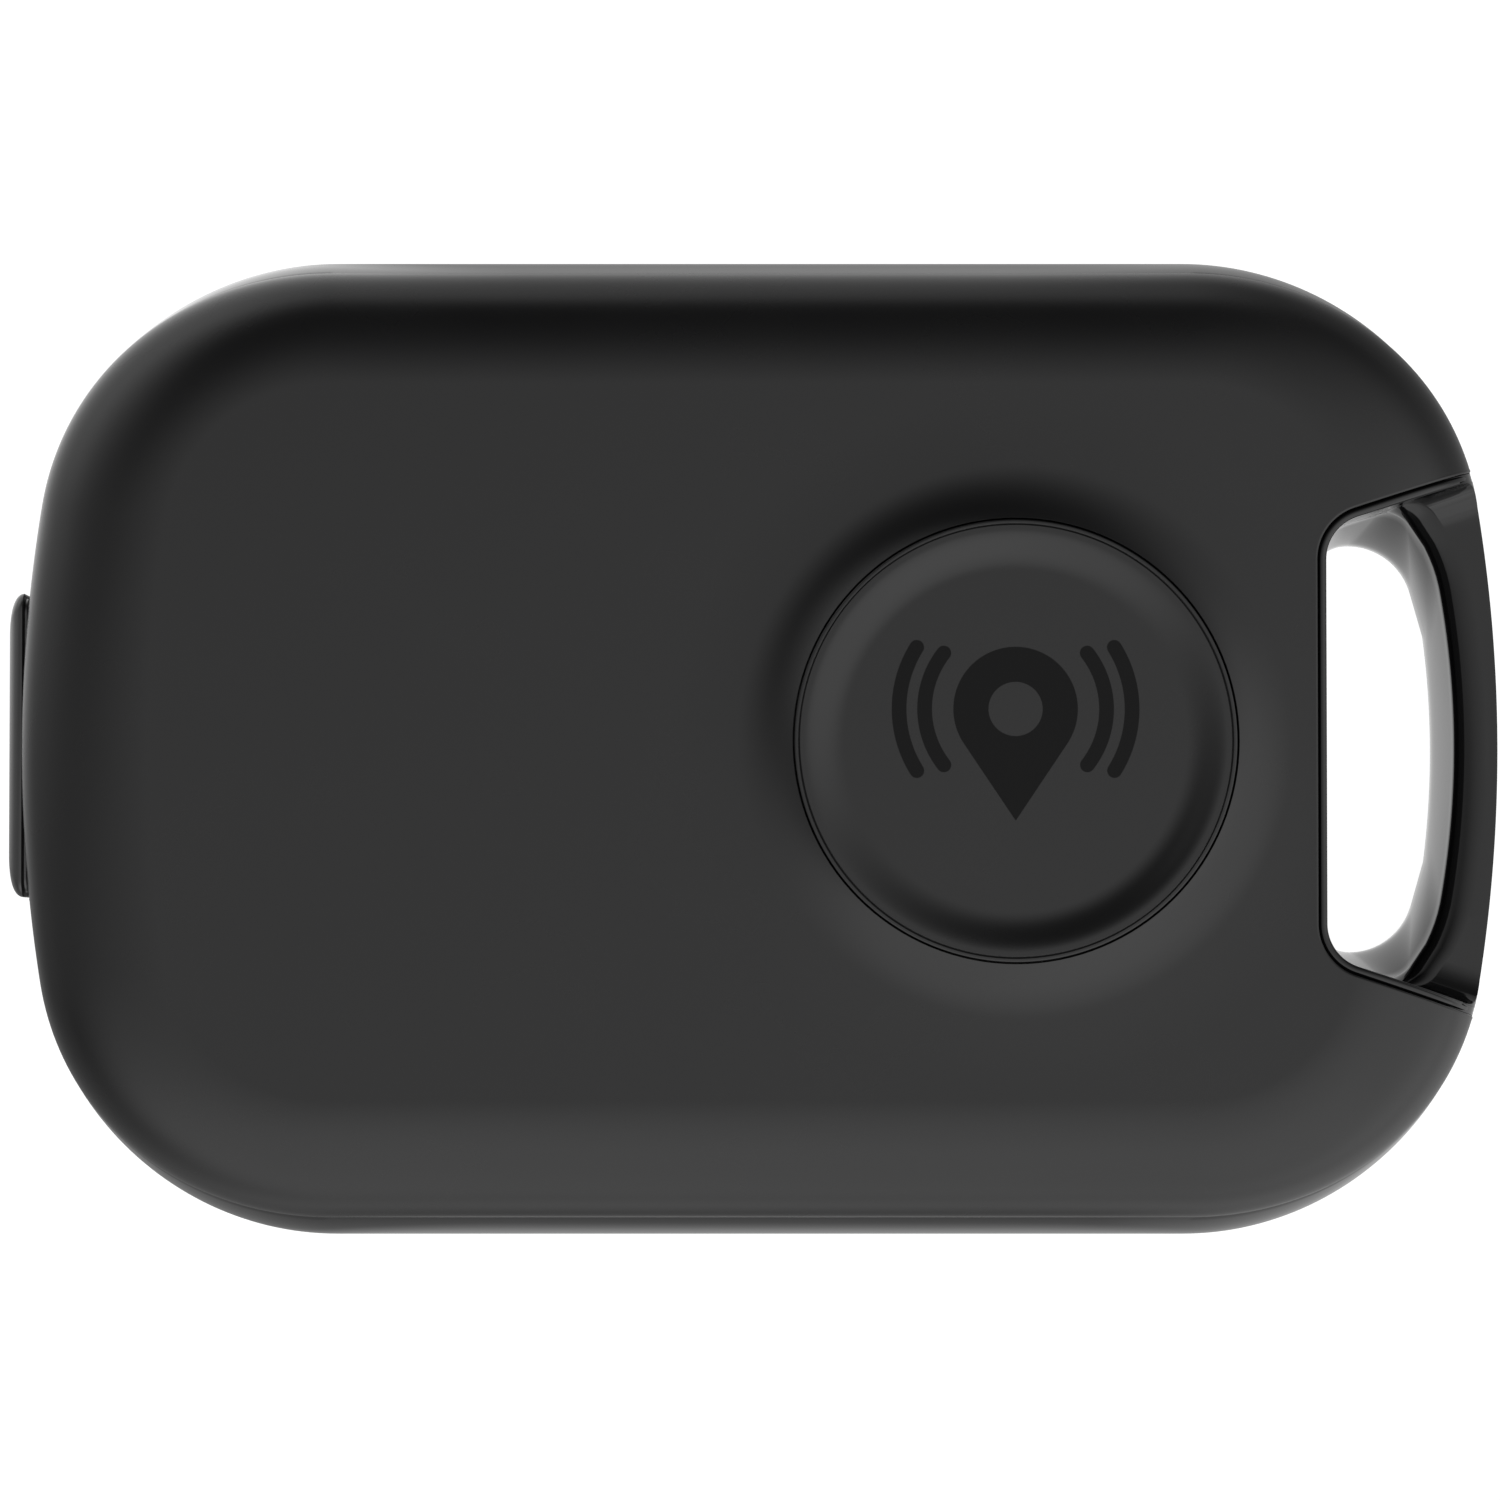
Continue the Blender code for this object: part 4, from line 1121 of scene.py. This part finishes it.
class Finish:
    """A Principled material and the node links that give it its detail."""

    def __init__(self, name, colour, roughness, metallic=0.0, level=0.5):
        self.material = bpy.data.materials.new(name)
        self.material.use_nodes = True
        self.tree = self.material.node_tree
        self.shader = self.tree.nodes["Principled BSDF"]
        self.colour = colour
        self.set("Base Color", (*colour, 1))
        self.set("Roughness", roughness)
        self.set("Metallic", metallic)
        self.set("Specular IOR Level", level)

    def set(self, socket, value):
        self.shader.inputs[socket].default_value = value

    def link(self, output, target):
        self.tree.links.new(output, target)

    def texture(self, kind, size, inputs, stretch=(1, 1, 1)):
        """A texture in the piece's own coordinates, with features about size mm across."""
        where = self.tree.nodes.new("ShaderNodeTexCoord").outputs["Object"]
        shape = shader_node(self.tree, "Mapping", {"Vector": where, "Scale": stretch})
        inputs = {"Vector": shape.outputs["Vector"], "Scale": 1 / (size * MM), **inputs}
        return shader_node(self.tree, "Tex" + kind, inputs).outputs

    def noise(self, size, detail=3, stretch=(1, 1, 1)):
        """Noise, narrowed by stretch along each axis."""
        return self.texture("Noise", size, {"Detail": detail}, stretch)["Fac"]

    def cells(self, size):
        return self.texture("Voronoi", size, {})["Distance"]

    def bricks(self, size, height, gap):
        """A pattern of long blocks with gaps between them, sizes in mm: 1 in the gaps."""
        sizes = {"Brick Width": size, "Row Height": height, "Mortar Size": gap, "Mortar Smooth": 0.2}
        return self.texture("Brick", 1, sizes)["Fac"]

    def scaled(self, value, low, high, start=0.0, end=1.0):
        ends = {"From Min": start, "From Max": end, "To Min": low, "To Max": high}
        return shader_node(self.tree, "MapRange", {"Value": value, **ends}).outputs["Result"]

    def blend(self, factor, first, second):
        return mixed(self.tree, factor, first, second)

    def relief(self, height, strength, depth):
        """Bump on top of any bump that is already there, depth in mm."""
        inputs = {"Height": height, "Strength": strength, "Distance": depth * MM}
        if self.shader.inputs["Normal"].is_linked:
            inputs["Normal"] = self.shader.inputs["Normal"].links[0].from_socket
        bump = shader_node(self.tree, "Bump", inputs)
        self.link(bump.outputs["Normal"], self.shader.inputs["Normal"])
        return self

    def mottle(self, size, amount, vary):
        """Faint uneven colour and roughness."""
        value = self.noise(size, 4)
        light = tuple(min(c * (1 + amount), 1) for c in self.colour)
        dark = tuple(c * (1 - amount) for c in self.colour)
        self.link(self.blend(value, dark, light), self.shader.inputs["Base Color"])
        roughness = self.shader.inputs["Roughness"].default_value
        self.link(self.scaled(value, roughness - vary, roughness + vary), self.shader.inputs["Roughness"])
        return self


def moulded(name, colour, roughness, grain=0.05, strength=0.1, level=0.5, vary=0.02, mottle=0.12):
    """Moulded plastic or rubber: fine spark-erosion grain, faint mottling."""
    look = Finish(name, colour, roughness, 0.0, level)
    look.mottle(4.0, mottle, vary)
    return look.relief(look.noise(grain), strength, 0.02)


def brushed(name, colour, roughness, along=(1, 14, 1), strength=0.15, size=1.2):
    """Rolled or brushed metal: streaks along one axis, with a few fine scratches."""
    look = Finish(name, colour, roughness, 1.0)
    look.mottle(2.5, 0.06, 0.05)
    return look.relief(look.noise(size, 4, along), strength, 0.01)


satin = moulded("satin_black_moulded", (0.0045, 0.0045, 0.0047), 0.27, 0.05, 0.1)
gloss = moulded("gloss_black_moulded", (0.004, 0.004, 0.0042), 0.09, 1.5, 0.01, vary=0.015)
mark_black = moulded("mark_gloss_black", (0.0015, 0.0015, 0.0016), 0.24, 0.3, 0.02, level=0.17)
cover_rubber = moulded("port_cover_rubber", (0.02, 0.02, 0.0205), 0.28, 0.06, 0.12, level=0.85)
rubber = moulded("matt_black_rubber", (0.014, 0.014, 0.0145), 0.6, 0.12, 0.3)
silicone = moulded("grey_silicone_rubber", (0.3, 0.31, 0.33), 0.45, 0.1, 0.15)
silicone.set("Subsurface Weight", 0.25)
silicone.set("Subsurface Radius", (1, 1, 1))
silicone.set("Subsurface Scale", 0.0006)
epoxy = moulded("dark_moulded_epoxy", (0.022, 0.022, 0.024), 0.5, 0.04, 0.35, mottle=0.25)
white = moulded("white_acetal", (0.78, 0.78, 0.75), 0.38, 0.12, 0.08, mottle=0.03)
steel = brushed("stamped_steel", (0.6, 0.6, 0.61), 0.28)
spring_steel = brushed("plated_spring_steel", (0.66, 0.64, 0.58), 0.22, (10, 1, 1), 0.1)
brass = brushed("rolled_brass", (0.76, 0.58, 0.28), 0.3, (1, 18, 1), 0.2)
gold = brushed("gold_flash", (0.9, 0.66, 0.3), 0.25, (8, 1, 1), 0.08)
copper = brushed("enamelled_copper", (0.72, 0.3, 0.13), 0.22, (1, 1, 10), 0.08)
solder = moulded("tin_solder", (0.62, 0.63, 0.65), 0.24, 0.25, 0.25, mottle=0.1)
solder.set("Metallic", 1.0)
silver = brushed("fired_silver", (0.74, 0.73, 0.7), 0.42, (1, 1, 1), 0.3, 0.15)
insulation_red = moulded("red_lead_insulation", (0.5, 0.02, 0.015), 0.42, 0.15, 0.1)
insulation_black = moulded("black_lead_insulation", (0.014, 0.014, 0.014), 0.42, 0.15, 0.1)


def board_mask():
    """Green solder mask: copper tracks and pours show through it over a faint glass weave."""
    look = Finish("green_solder_mask", (0.006, 0.075, 0.03), 0.3)
    tracks = look.bricks(3.1, 0.62, 0.13)
    pours = look.scaled(look.noise(5.0, 1), 0, 1, 0.5, 0.53)
    under = look.blend(pours, (0.004, 0.05, 0.02), (0.008, 0.1, 0.04))
    look.link(look.blend(tracks, under, (0.014, 0.16, 0.06)), look.shader.inputs["Base Color"])
    weave = look.bricks(0.5, 0.25, 0.05)
    look.link(look.scaled(look.noise(1.5), 0.24, 0.4), look.shader.inputs["Roughness"])
    return look.relief(tracks, 0.5, 0.03).relief(weave, 0.12, 0.01)


def ceramic(name, colour):
    """Fired ceramic: fine speckle and an open, slightly rough surface."""
    look = Finish(name, colour, 0.5)
    speckle = look.scaled(look.noise(0.12, 5), 0, 1, 0.45, 0.7)
    dark = tuple(c * 0.72 for c in colour)
    look.link(look.blend(speckle, colour, dark), look.shader.inputs["Base Color"])
    return look.relief(look.noise(0.06), 0.3, 0.015)


def pouch_foil():
    """Laminated pouch foil: brushed aluminium under clear film, with soft dents and creases."""
    look = Finish("pouch_foil", (0.68, 0.69, 0.71), 0.3, 1.0)
    look.mottle(3.0, 0.05, 0.05)
    look.set("Coat Weight", 0.5)
    look.set("Coat Roughness", 0.15)
    return look.relief(look.noise(2.6, 2), 0.35, 0.12).relief(look.noise(0.6, 4, (1, 12, 1)), 0.12, 0.01)


def foam():
    """Closed-cell foam: painted shade darkens each cell's hollow, leaving the thin walls between them
    lighter.
    """
    look = Finish("foam_tape", (0.03, 0.03, 0.031), 0.9)
    cell = look.cells(0.22)
    # Painted shade: colour darkens towards each cell's hollow, where the bump below sinks it
    shade = look.blend(look.scaled(cell, 0, 1, 0.1, 0.6), (0.016, 0.016, 0.017), (0.06, 0.06, 0.062))
    look.link(shade, look.shader.inputs["Base Color"])
    return look.relief(cell, 0.8, 0.08)


def amber_tape():
    look = Finish("amber_polyimide_tape", (0.62, 0.28, 0.03), 0.18)
    look.mottle(1.5, 0.12, 0.05)
    look.set("Transmission Weight", 0.35)
    return look.relief(look.noise(1.2, 2), 0.2, 0.05)


def clear_resin():
    """The indicator's lens: clear resin over a yellow phosphor."""
    look = Finish("clear_resin", (0.92, 0.86, 0.5), 0.12)
    look.mottle(0.5, 0.08, 0.04)
    look.set("Transmission Weight", 0.6)
    look.set("IOR", 1.5)
    return look.relief(look.noise(0.3), 0.05, 0.01)


mask = board_mask()
fired = ceramic("fired_white_ceramic", (0.72, 0.7, 0.66))
ferrite = ceramic("dark_ferrite", (0.05, 0.048, 0.047))
piezo_grey = ceramic("piezo_ceramic_grey", (0.42, 0.4, 0.36))
foil = pouch_foil()
foam_look = foam()
amber = amber_tape()
resin = clear_resin()


# ---------------------------------------------------------------- placing the pieces


def paint(item, look):
    item.data.materials.clear()
    item.data.materials.append(look.material)
    for polygon in item.data.polygons:
        polygon.material_index = 0
    return item


def place(item, look, slot, body="housing", stands_for=()):
    """Paints a piece and makes it ride on a body in place of CAD nodes."""
    paint(item, look)
    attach(item, body)
    if stands_for:
        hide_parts(*stands_for)
    return item


def even_shading(item):
    """Lets large faces set the shading at their edges, so that flat stretches stay flat."""
    step = item.modifiers.new("Shading", "WEIGHTED_NORMAL")
    step.keep_sharp = True
    return item


def repaint(node, look):
    """A carried-over CAD node keeps its shape and takes a better finish."""
    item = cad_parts[node]
    if not item.data.materials:
        item.data.materials.append(look.material)
    for slot in item.material_slots:
        slot.material = look.material


tray = make_tray()
tray.name = "bottom_shell_moulding"
place(even_shading(tray), gloss, "gloss_black", stands_for=["bottom_shell"])
lid = make_lid()
lid.name = "top_shell_moulding"
place(even_shading(lid), satin, "satin_black", stands_for=["top_shell"])
lid_lip = tube("top_shell_notch_edge", notch_lip_path(LINER_T + LINER_GAP + LIP_R, LIP_R, 0.0), LIP_R)
place(lid_lip, satin, "satin_black")
liner_r = LINER_T / 2
liner_lip = tube("slot_liner_edge", notch_lip_path(liner_r, liner_r, LINER_DROP), liner_r)
place(liner_lip, gloss, "gloss_black")
place(make_cap(), satin, "satin_black", "button", ["button_cap"])
place(make_mark(), mark_black, "gloss_black", "button")

place(make_cover(), cover_rubber, "black_rubber", "cover", ["port_cover"])
place(make_anchor(), cover_rubber, "black_rubber", stands_for=["port_cover_anchor"])
strap = paint(make_strap(), cover_rubber)
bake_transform(strap)

boot = place(make_boot(), silicone, "grey_silicone", stands_for=["button_boot"])
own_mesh(boot)
dome = place(make_dome(), spring_steel, "steel", stands_for=["switch_dome"])
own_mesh(dome)
place(make_plunger(), white, "white_plastic", "plunger", ["switch_plunger"])
place(make_switch_legs(), solder, "steel")

for chip, dimple in (("bluetooth_soc", 0.35), ("charger_ic", 0.25)):
    place(make_package(chip, f"{chip}_package", dimple), epoxy, "dark_plastic", stands_for=[chip])
place(make_pads("bluetooth_soc", "bluetooth_soc_pads", 9, 9, 0.24), solder, "steel")
place(make_pads("charger_ic", "charger_ic_pads", 5, 0, 0.26), solder, "steel")
for crystal in ("crystal_main", "crystal_rtc"):
    place(make_can(crystal, f"{crystal}_can"), steel, "steel", stands_for=[crystal])
    place(make_pads(crystal, f"{crystal}_pads", 2, 0, 0.5, 0.12), solder, "steel")
place(make_antenna_body(), fired, "ceramic", stands_for=["chip_antenna"])
place(make_antenna_element(), silver, "steel")
place(make_inductor(), ferrite, "ceramic", stands_for=["charge_inductor"])
place(make_winding(), copper, "brass")
place(make_led(), resin, "clear_resin", stands_for=["status_led"])
place(make_led_base(), white, "white_plastic")
for number in range(1, 5):
    place(make_screw(number), steel, "steel", stands_for=[f"pcb_screw_{number}"])
place(make_passives("pcb_passive_bodies", False), fired, "ceramic")
place(make_passives("pcb_passive_ends", True), solder, "steel")
place(make_test_pads(), gold, "brass")
place(make_contacts(), gold, "brass")

place(make_pouch(), foil, "foil", stands_for=["battery_cell"])
place(make_pouch_seals(), foil, "foil")
place(make_cell_tape(), amber, "foam_tape")
place(make_cell_board_parts(), epoxy, "dark_plastic")
for pole, colour, look in (("positive", "red", insulation_red), ("negative", "black", insulation_black)):
    lead = f"battery_lead_{pole}"
    place(make_lead(lead, f"battery_lead_{colour}"), look, f"{colour}_insulation", stands_for=[lead])
joints = make_solder()
joints.name = "battery_lead_joints"
place(joints, solder, "steel")

place(make_disc("piezo_plate", "piezo_plate_disc"), brass, "brass", stands_for=["piezo_plate"])
place(make_disc("piezo_ceramic", "piezo_ceramic_disc"), piezo_grey, "ceramic", stands_for=["piezo_ceramic"])
place(make_electrode(), silver, "steel")

carried = {
    "perimeter_seal": rubber,
    "switch_base": epoxy,
    "switch_frame": steel,
    "pcb": mask,
    "usb_shell": steel,
    "usb_tongue": epoxy,
    "battery_tape": foam_look,
    "battery_board": mask,
    "piezo_contact_plate": spring_steel,
    "piezo_contact_ceramic": spring_steel,
}
for node, look in carried.items():
    repaint(node, look)


# ---------------------------------------------------------------- floor, light and camera

# Bearing of the key side, in degrees from +X
KEY_AZIMUTH = -62
# The strongest radiance that the colour ramps hold, which the shaders multiply back in
LIGHT_PEAK = 1.6
# Radiance of the studio's dome against the share of its direction that points to the key side
SKY = (
    (-0.8, 0.02),
    (-0.55, 0.13),
    (-0.36, 0.38),
    (-0.2, 0.62),
    (-0.05, 0.79),
    (0.0, 0.84),
    (0.2, 1.15),
    (0.33, 1.3),
)
# What stands round the table: bearing in degrees from +X, its radiance, the height that it reaches in the
# dome, and the radiance of the table in front of it. Pale panels at -45 and 130, dark flags at -155 and 60.
COMPASS = (
    (-180, 0.45, 0.75, 0.6),
    (-160, 0.2, 0.75, 0.22),
    (-135, 0.4, 0.45, 0.18),
    (-110, 0.95, 0.25, 0.08),
    (-80, 1.3, 0.3, 0.1),
    (-50, 1.55, 0.5, 0.45),
    (-20, 1.5, 0.5, 0.45),
    (20, 0.4, 0.5, 0.3),
    (50, 0.12, 0.6, 0.2),
    (68, 0.1, 0.4, 0.4),
    (90, 0.75, 0.28, 0.6),
    (115, 1.3, 0.5, 1.0),
    (140, 1.35, 0.8, 1.2),
    (162, 1.1, 0.8, 1.1),
    (180, 0.45, 0.75, 0.6),
)
# How much of the panel shows against the direction's height as a share of the panel's height
PANEL_FADE = ((0.0, 1.0), (0.3, 0.88), (0.65, 0.42), (1.0, 0.0))
# Radiance of the table under the tag and in its contact shadow. Distances are from the tag's long axis.
TABLE_UNDER = 0.9
TABLE_SHADOW = 0.3
TABLE_SPINE = 8.0
SHADOW_STARTS = (14.9, 15.5)
SHADOW_ENDS = (16.6, 17.8)
# Between these distances the table turns to this share of the radiance of the panel behind it
TABLE_TURNS = (20, 30)
FAR_TABLE = 0.65
FLOOR_HALF = 2000


def softbox(name, azimuth, off_zenith, distance, size, radiance):
    """A square area light aimed at the tag, with its angles in degrees and its measures in metres."""
    a, z = math.radians(azimuth), math.radians(off_zenith)
    way = Vector((math.sin(z) * math.cos(a), math.sin(z) * math.sin(a), math.cos(z)))
    data = bpy.data.lights.new(name, "AREA")
    data.shape = "SQUARE"
    data.size = size
    data.energy = 4 * size * size * radiance
    lamp = link(bpy.data.objects.new(name, data))
    lamp.location = way * distance
    lamp.rotation_mode = "QUATERNION"
    lamp.rotation_quaternion = way.to_track_quat("Z", "Y")


def ramp(tree, factor, stops):
    """A colour ramp at factor, through (position, (red, green, blue)) stops."""
    node = shader_node(tree, "ValToRGB", {"Fac": factor})
    elements = node.color_ramp.elements
    while len(elements) < len(stops):
        elements.new(0.5)
    for element, (position, colour) in zip(elements, stops):
        element.position = position
        element.color = (*colour, 1)
    return node.outputs["Color"]


def math_node(tree, operation, *values):
    """A Math node on sockets or numbers."""
    node = tree.nodes.new("ShaderNodeMath")
    node.operation = operation
    return feed(tree, node, dict(enumerate(values))).outputs["Value"]


def parts_of(tree, vector):
    return shader_node(tree, "SeparateXYZ", {"Vector": vector}).outputs


def white_to_camera(tree, light):
    """The light's colour, but plain white where the camera looks straight at it."""
    seen = tree.nodes.new("ShaderNodeLightPath").outputs["Is Camera Ray"]
    return mixed(tree, seen, light, 1 / LIGHT_PEAK)


def surroundings(tree, x, y):
    """What COMPASS holds in the direction x, y: the panel's radiance, its height and the table's radiance."""
    bearing = math_node(tree, "ARCTAN2", y, x)
    turn = math_node(tree, "MULTIPLY_ADD", bearing, 1 / (2 * math.pi), 0.5)
    stops = []
    for degrees, panel, height, table in COMPASS:
        stops.append(((degrees + 180) / 360, (panel / LIGHT_PEAK, height, table / LIGHT_PEAK)))
    parts = shader_node(tree, "SeparateColor", {"Color": ramp(tree, turn, stops)})
    return parts.outputs["Red"], parts.outputs["Green"], parts.outputs["Blue"]


def make_sky():
    """A pale studio dome over panels and flags round the table. The camera sees it plain white."""
    world = bpy.data.worlds.new("studio")
    world.use_nodes = True
    tree = world.node_tree
    parts = parts_of(tree, tree.nodes.new("ShaderNodeTexCoord").outputs["Generated"])
    key = math.radians(KEY_AZIMUTH)
    along_x = math_node(tree, "MULTIPLY", parts["X"], math.cos(key))
    along_y = math_node(tree, "MULTIPLY", parts["Y"], math.sin(key))
    aside = math_node(tree, "MULTIPLY_ADD", math_node(tree, "ADD", along_x, along_y), 0.5, 0.5)
    dome = ramp(tree, aside, [((share + 1) / 2, (tone / LIGHT_PEAK,) * 3) for share, tone in SKY])
    panel, height, _ = surroundings(tree, parts["X"], parts["Y"])
    rise = math_node(tree, "DIVIDE", parts["Z"], height)
    fade = ramp(tree, rise, [(share, (level,) * 3) for share, level in PANEL_FADE])
    lit = mixed(tree, fade, dome, panel)
    feed(tree, tree.nodes["Background"], {"Color": white_to_camera(tree, lit), "Strength": LIGHT_PEAK})
    bpy.context.scene.world = world


def make_floor():
    """A pale light table, darker in the tag's contact shadow. The camera sees it plain white."""
    corners = [(x * FLOOR_HALF, y * FLOOR_HALF) for x, y in ((-1, -1), (1, -1), (1, 1), (-1, 1))]
    floor = prism("studio_floor", corners, -5.0, -0.02)
    table = Finish("light_table", (0.2, 0.2, 0.2), 0.9, 0.0, 0.0)
    tree = table.tree
    parts = parts_of(tree, tree.nodes.new("ShaderNodeNewGeometry").outputs["Position"])
    x, y = parts["X"], parts["Y"]
    spine = TABLE_SPINE * MM
    beside = math_node(tree, "MAXIMUM", math_node(tree, "MINIMUM", x, spine), -spine)
    past = math_node(tree, "SUBTRACT", x, beside)
    square_x, square_y = math_node(tree, "MULTIPLY", past, past), math_node(tree, "MULTIPLY", y, y)
    reach = math_node(tree, "SQRT", math_node(tree, "ADD", square_x, square_y))
    panel, _, close_table = surroundings(tree, past, y)

    def beyond(limits):
        return table.scaled(reach, 0, 1, limits[0] * MM, limits[1] * MM)

    open_table = mixed(tree, beyond(TABLE_TURNS), close_table, math_node(tree, "MULTIPLY", panel, FAR_TABLE))
    near = mixed(tree, beyond(SHADOW_STARTS), TABLE_UNDER / LIGHT_PEAK, TABLE_SHADOW / LIGHT_PEAK)
    glow = mixed(tree, beyond(SHADOW_ENDS), near, open_table)
    table.link(white_to_camera(tree, glow), table.shader.inputs["Emission Color"])
    table.set("Emission Strength", LIGHT_PEAK)
    paint(floor, table)


make_sky()
make_floor()
softbox("front_softbox", -65, 48, 1.0, 0.6, 0.12)

# The camera's distance and the point that it looks at, with its tilt and the frame's angle in degrees
CAMERA_DISTANCE = 200
CAMERA_TILT = 2.0
AIM = Vector((-0.32, -0.13, 3.2))
FRAME_ANGLE = 13.7
camera_data = bpy.data.cameras.new("camera")
camera_data.lens = camera_data.sensor_width / 2 / math.tan(math.radians(FRAME_ANGLE / 2))
camera_data.clip_start = 0.01
camera = link(bpy.data.objects.new("camera", camera_data))
lean = math.radians(CAMERA_TILT)
camera.location = (AIM + CAMERA_DISTANCE * Vector((0, -math.sin(lean), math.cos(lean)))) * MM
camera.rotation_euler = (lean, 0, 0)
bpy.context.scene.camera = camera
bpy.context.scene.view_settings.view_transform = "Standard"
